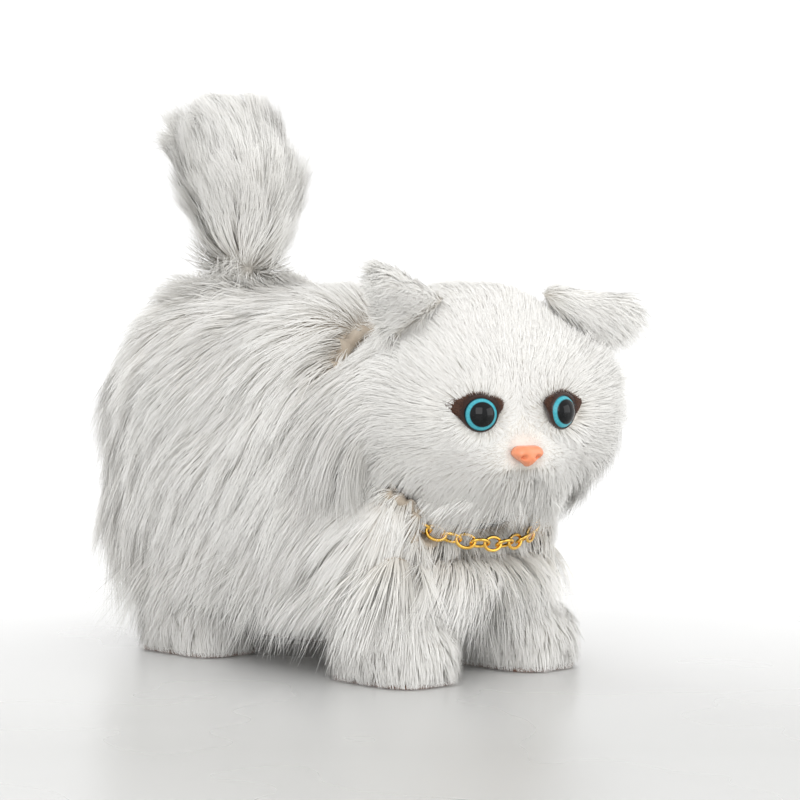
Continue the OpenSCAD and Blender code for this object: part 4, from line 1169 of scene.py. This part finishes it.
def knitted_cloth():
    """Flat knit in rows 1.1 mm apart, drawn twice as coarse as real so that it shows."""
    material, tree, shader = finish("Flat knitted cloth", hex_rgb("#D9D2C6"), 0.92, Sheen_Weight=0.2)
    if tree is None:
        return material
    where = object_space(tree)
    across = put(tree, "ShaderNodeTexWave", {"Vector": where, "Scale": 1 / (2 * math.pi * 0.35 * MM), "Distortion": 1.2}, bands_direction="X").outputs[1]
    along = put(tree, "ShaderNodeTexWave", {"Vector": where, "Scale": 1 / (2 * math.pi * 0.35 * MM), "Distortion": 1.2}, bands_direction="Y").outputs[1]
    knit = put(tree, "ShaderNodeMath", {0: across, 1: along}, operation="MULTIPLY").outputs[0]
    # painted shade: the colour is darker in the knit's valleys, where the bump is low
    tint_with_painted_shade = put(tree, "ShaderNodeMix", {0: knit, 6: (*hex_rgb("#B8AE9F"), 1), 7: (*hex_rgb("#DED8CD"), 1)}, data_type="RGBA").outputs[2]
    tree.links.new(tint_with_painted_shade, shader.inputs["Base Color"])
    raised = put(tree, "ShaderNodeBump", {"Height": knit, "Strength": 0.6, "Distance": 0.3 * MM}).outputs[0]
    tree.links.new(raised, shader.inputs["Normal"])
    return material


# ---- working parts that keep their CAD shape ----

def dress(node, material):
    """Gives a CAD node a finish; its mesh stays as it is."""
    for item in frame["nodes"][node].material_slots:
        item.material = material


def banded_sleeve():
    """Printed shrink sleeve of a cell: a black body and a copper-coloured end, with the gloss of PVC film."""
    material, tree, shader = finish("Printed shrink sleeve", hex_rgb("#1B1C1E"), 0.3, Coat_Weight=0.5)
    if tree is None:
        return material
    low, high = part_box("batteries")
    where = tree.nodes.new("ShaderNodeTexCoord").outputs["Object"]
    along = put(tree, "ShaderNodeSeparateXYZ", {0: where}).outputs[1]
    share = put(tree, "ShaderNodeMapRange", {"Value": along, "From Min": float(low[1]), "From Max": float(high[1])}).outputs[0]
    ramp = put(tree, "ShaderNodeValToRGB", {0: share})
    ramp.color_ramp.interpolation = "CONSTANT"
    stops = ramp.color_ramp.elements
    stops[0].color = (*hex_rgb("#1B1C1E"), 1)
    stops[1].position, stops[1].color = 0.975, (*hex_rgb("#C8C8C6"), 1)
    stop = stops.new(0.72)
    stop.color = (*hex_rgb("#B9703A"), 1)
    tree.links.new(ramp.outputs[0], shader.inputs["Base Color"])
    scuff = put(tree, "ShaderNodeTexNoise", {"Vector": where, "Scale": 1 / (1.5 * MM), "Detail": 3.0}).outputs[0]
    tree.links.new(put(tree, "ShaderNodeMapRange", {"Value": scuff, "To Min": 0.22, "To Max": 0.4}).outputs[0], shader.inputs["Roughness"])
    return material


def solder_mask():
    """Green solder mask with paler copper tracks under it, 0.8 mm wide."""
    material, tree, shader = finish("Green solder mask on glass laminate", hex_rgb("#0F5A32"), 0.35, Coat_Weight=0.4)
    if tree is None:
        return material
    where = object_space(tree)
    tracks = put(tree, "ShaderNodeTexBrick", {"Vector": where, "Color1": (*hex_rgb("#0F5A32"), 1), "Color2": (*hex_rgb("#12663A"), 1),
                 "Mortar": (*hex_rgb("#3E9A5C"), 1), "Scale": 1 / (6 * MM), "Mortar Size": 0.06}).outputs[0]
    tree.links.new(tracks, shader.inputs["Base Color"])
    return material


class KITTEN_OT_mechanism(bpy.types.Operator):
    """Gives the housing, gears, shafts, electrics and legs their finishes"""
    bl_idname = "kitten.mechanism"
    bl_label = "Working parts"

    def execute(self, context):
        finishes = {
            "grey_plastic": grained("Moulded grey ABS", hex_rgb("#9A9DA2"), hex_rgb("#8F9297"), 0.45, 0.35, 0.08, 14),
            "zinc_steel": grained("Zinc-plated steel", hex_rgb("#B9BDC2"), hex_rgb("#A6AAB2"), 0.34, 0.3, 0.05, 4, metal=1.0),
            "polished_steel": grained("Ground steel shafting", hex_rgb("#C9CBCE"), hex_rgb("#BDBFC3"), 0.2, 0.2, 0.04, 5, metal=1.0),
            "spring_steel": grained("Oiled black spring steel", hex_rgb("#3A3B3E"), hex_rgb("#55514C"), 0.4, 0.3, 0.06, 3, metal=1.0),
            "nickel_steel": grained("Nickel-plated steel", hex_rgb("#CFCBC2"), hex_rgb("#BDB9B0"), 0.26, 0.4, 0.04, 6, metal=1.0),
            "sheet_brass": grained("Rolled brass sheet", hex_rgb("#C9A457"), hex_rgb("#B08A42"), 0.3, 0.25, 0.05, 5, metal=1.0),
            "black_plastic": grained("Moulded black polystyrene", hex_rgb("#17181A"), hex_rgb("#232427"), 0.42, 0.3, 0.08, 5),
            "white_nylon": grained("Moulded natural nylon", hex_rgb("#EDE8DA"), hex_rgb("#E3DCCB"), 0.42, 0.3, 0.05, 4),
            "cell_sleeve": banded_sleeve(),
            "green_board": solder_mask(),
        }
        for part in frame["record"]["subparts"]:
            if part["material_slot"] in finishes:
                dress(part["node"], finishes[part["material_slot"]])
        return {"FINISHED"}


OPERATORS = (KITTEN_OT_stage, KITTEN_OT_torso, KITTEN_OT_head, KITTEN_OT_ears, KITTEN_OT_tail, KITTEN_OT_paws,
             KITTEN_OT_eyes, KITTEN_OT_nose, KITTEN_OT_collar, KITTEN_OT_cloth, KITTEN_OT_mechanism)


class KITTEN_PT_panel(bpy.types.Panel):
    """Lists the pieces of the kitten and their sizes"""
    bl_label = "Plush kitten"
    bl_idname = "KITTEN_PT_panel"
    bl_space_type = "VIEW_3D"
    bl_region_type = "UI"
    bl_category = "Kitten"

    def draw(self, context):
        for group in ("pile", "face", "collar", "stage"):
            box = self.layout.box()
            box.label(text=group.capitalize())
            data = getattr(settings(), group)
            for name in data.__annotations__:
                box.prop(data, name)
        for operator in OPERATORS:
            self.layout.operator(operator.bl_idname)


CLASSES = (PileSettings, FaceSettings, CollarSettings, StageSettings, KittenSettings, *OPERATORS, KITTEN_PT_panel)


def register():
    for item in CLASSES:
        bpy.utils.register_class(item)
    bpy.types.Scene.kitten = PointerProperty(type=KittenSettings)


def unregister():
    del bpy.types.Scene.kitten
    for item in reversed(CLASSES):
        bpy.utils.unregister_class(item)


def main():
    register()
    for operator in OPERATORS:
        group, name = operator.bl_idname.split(".")
        getattr(getattr(bpy.ops, group), name)()


if __name__ == "__main__":
    main()
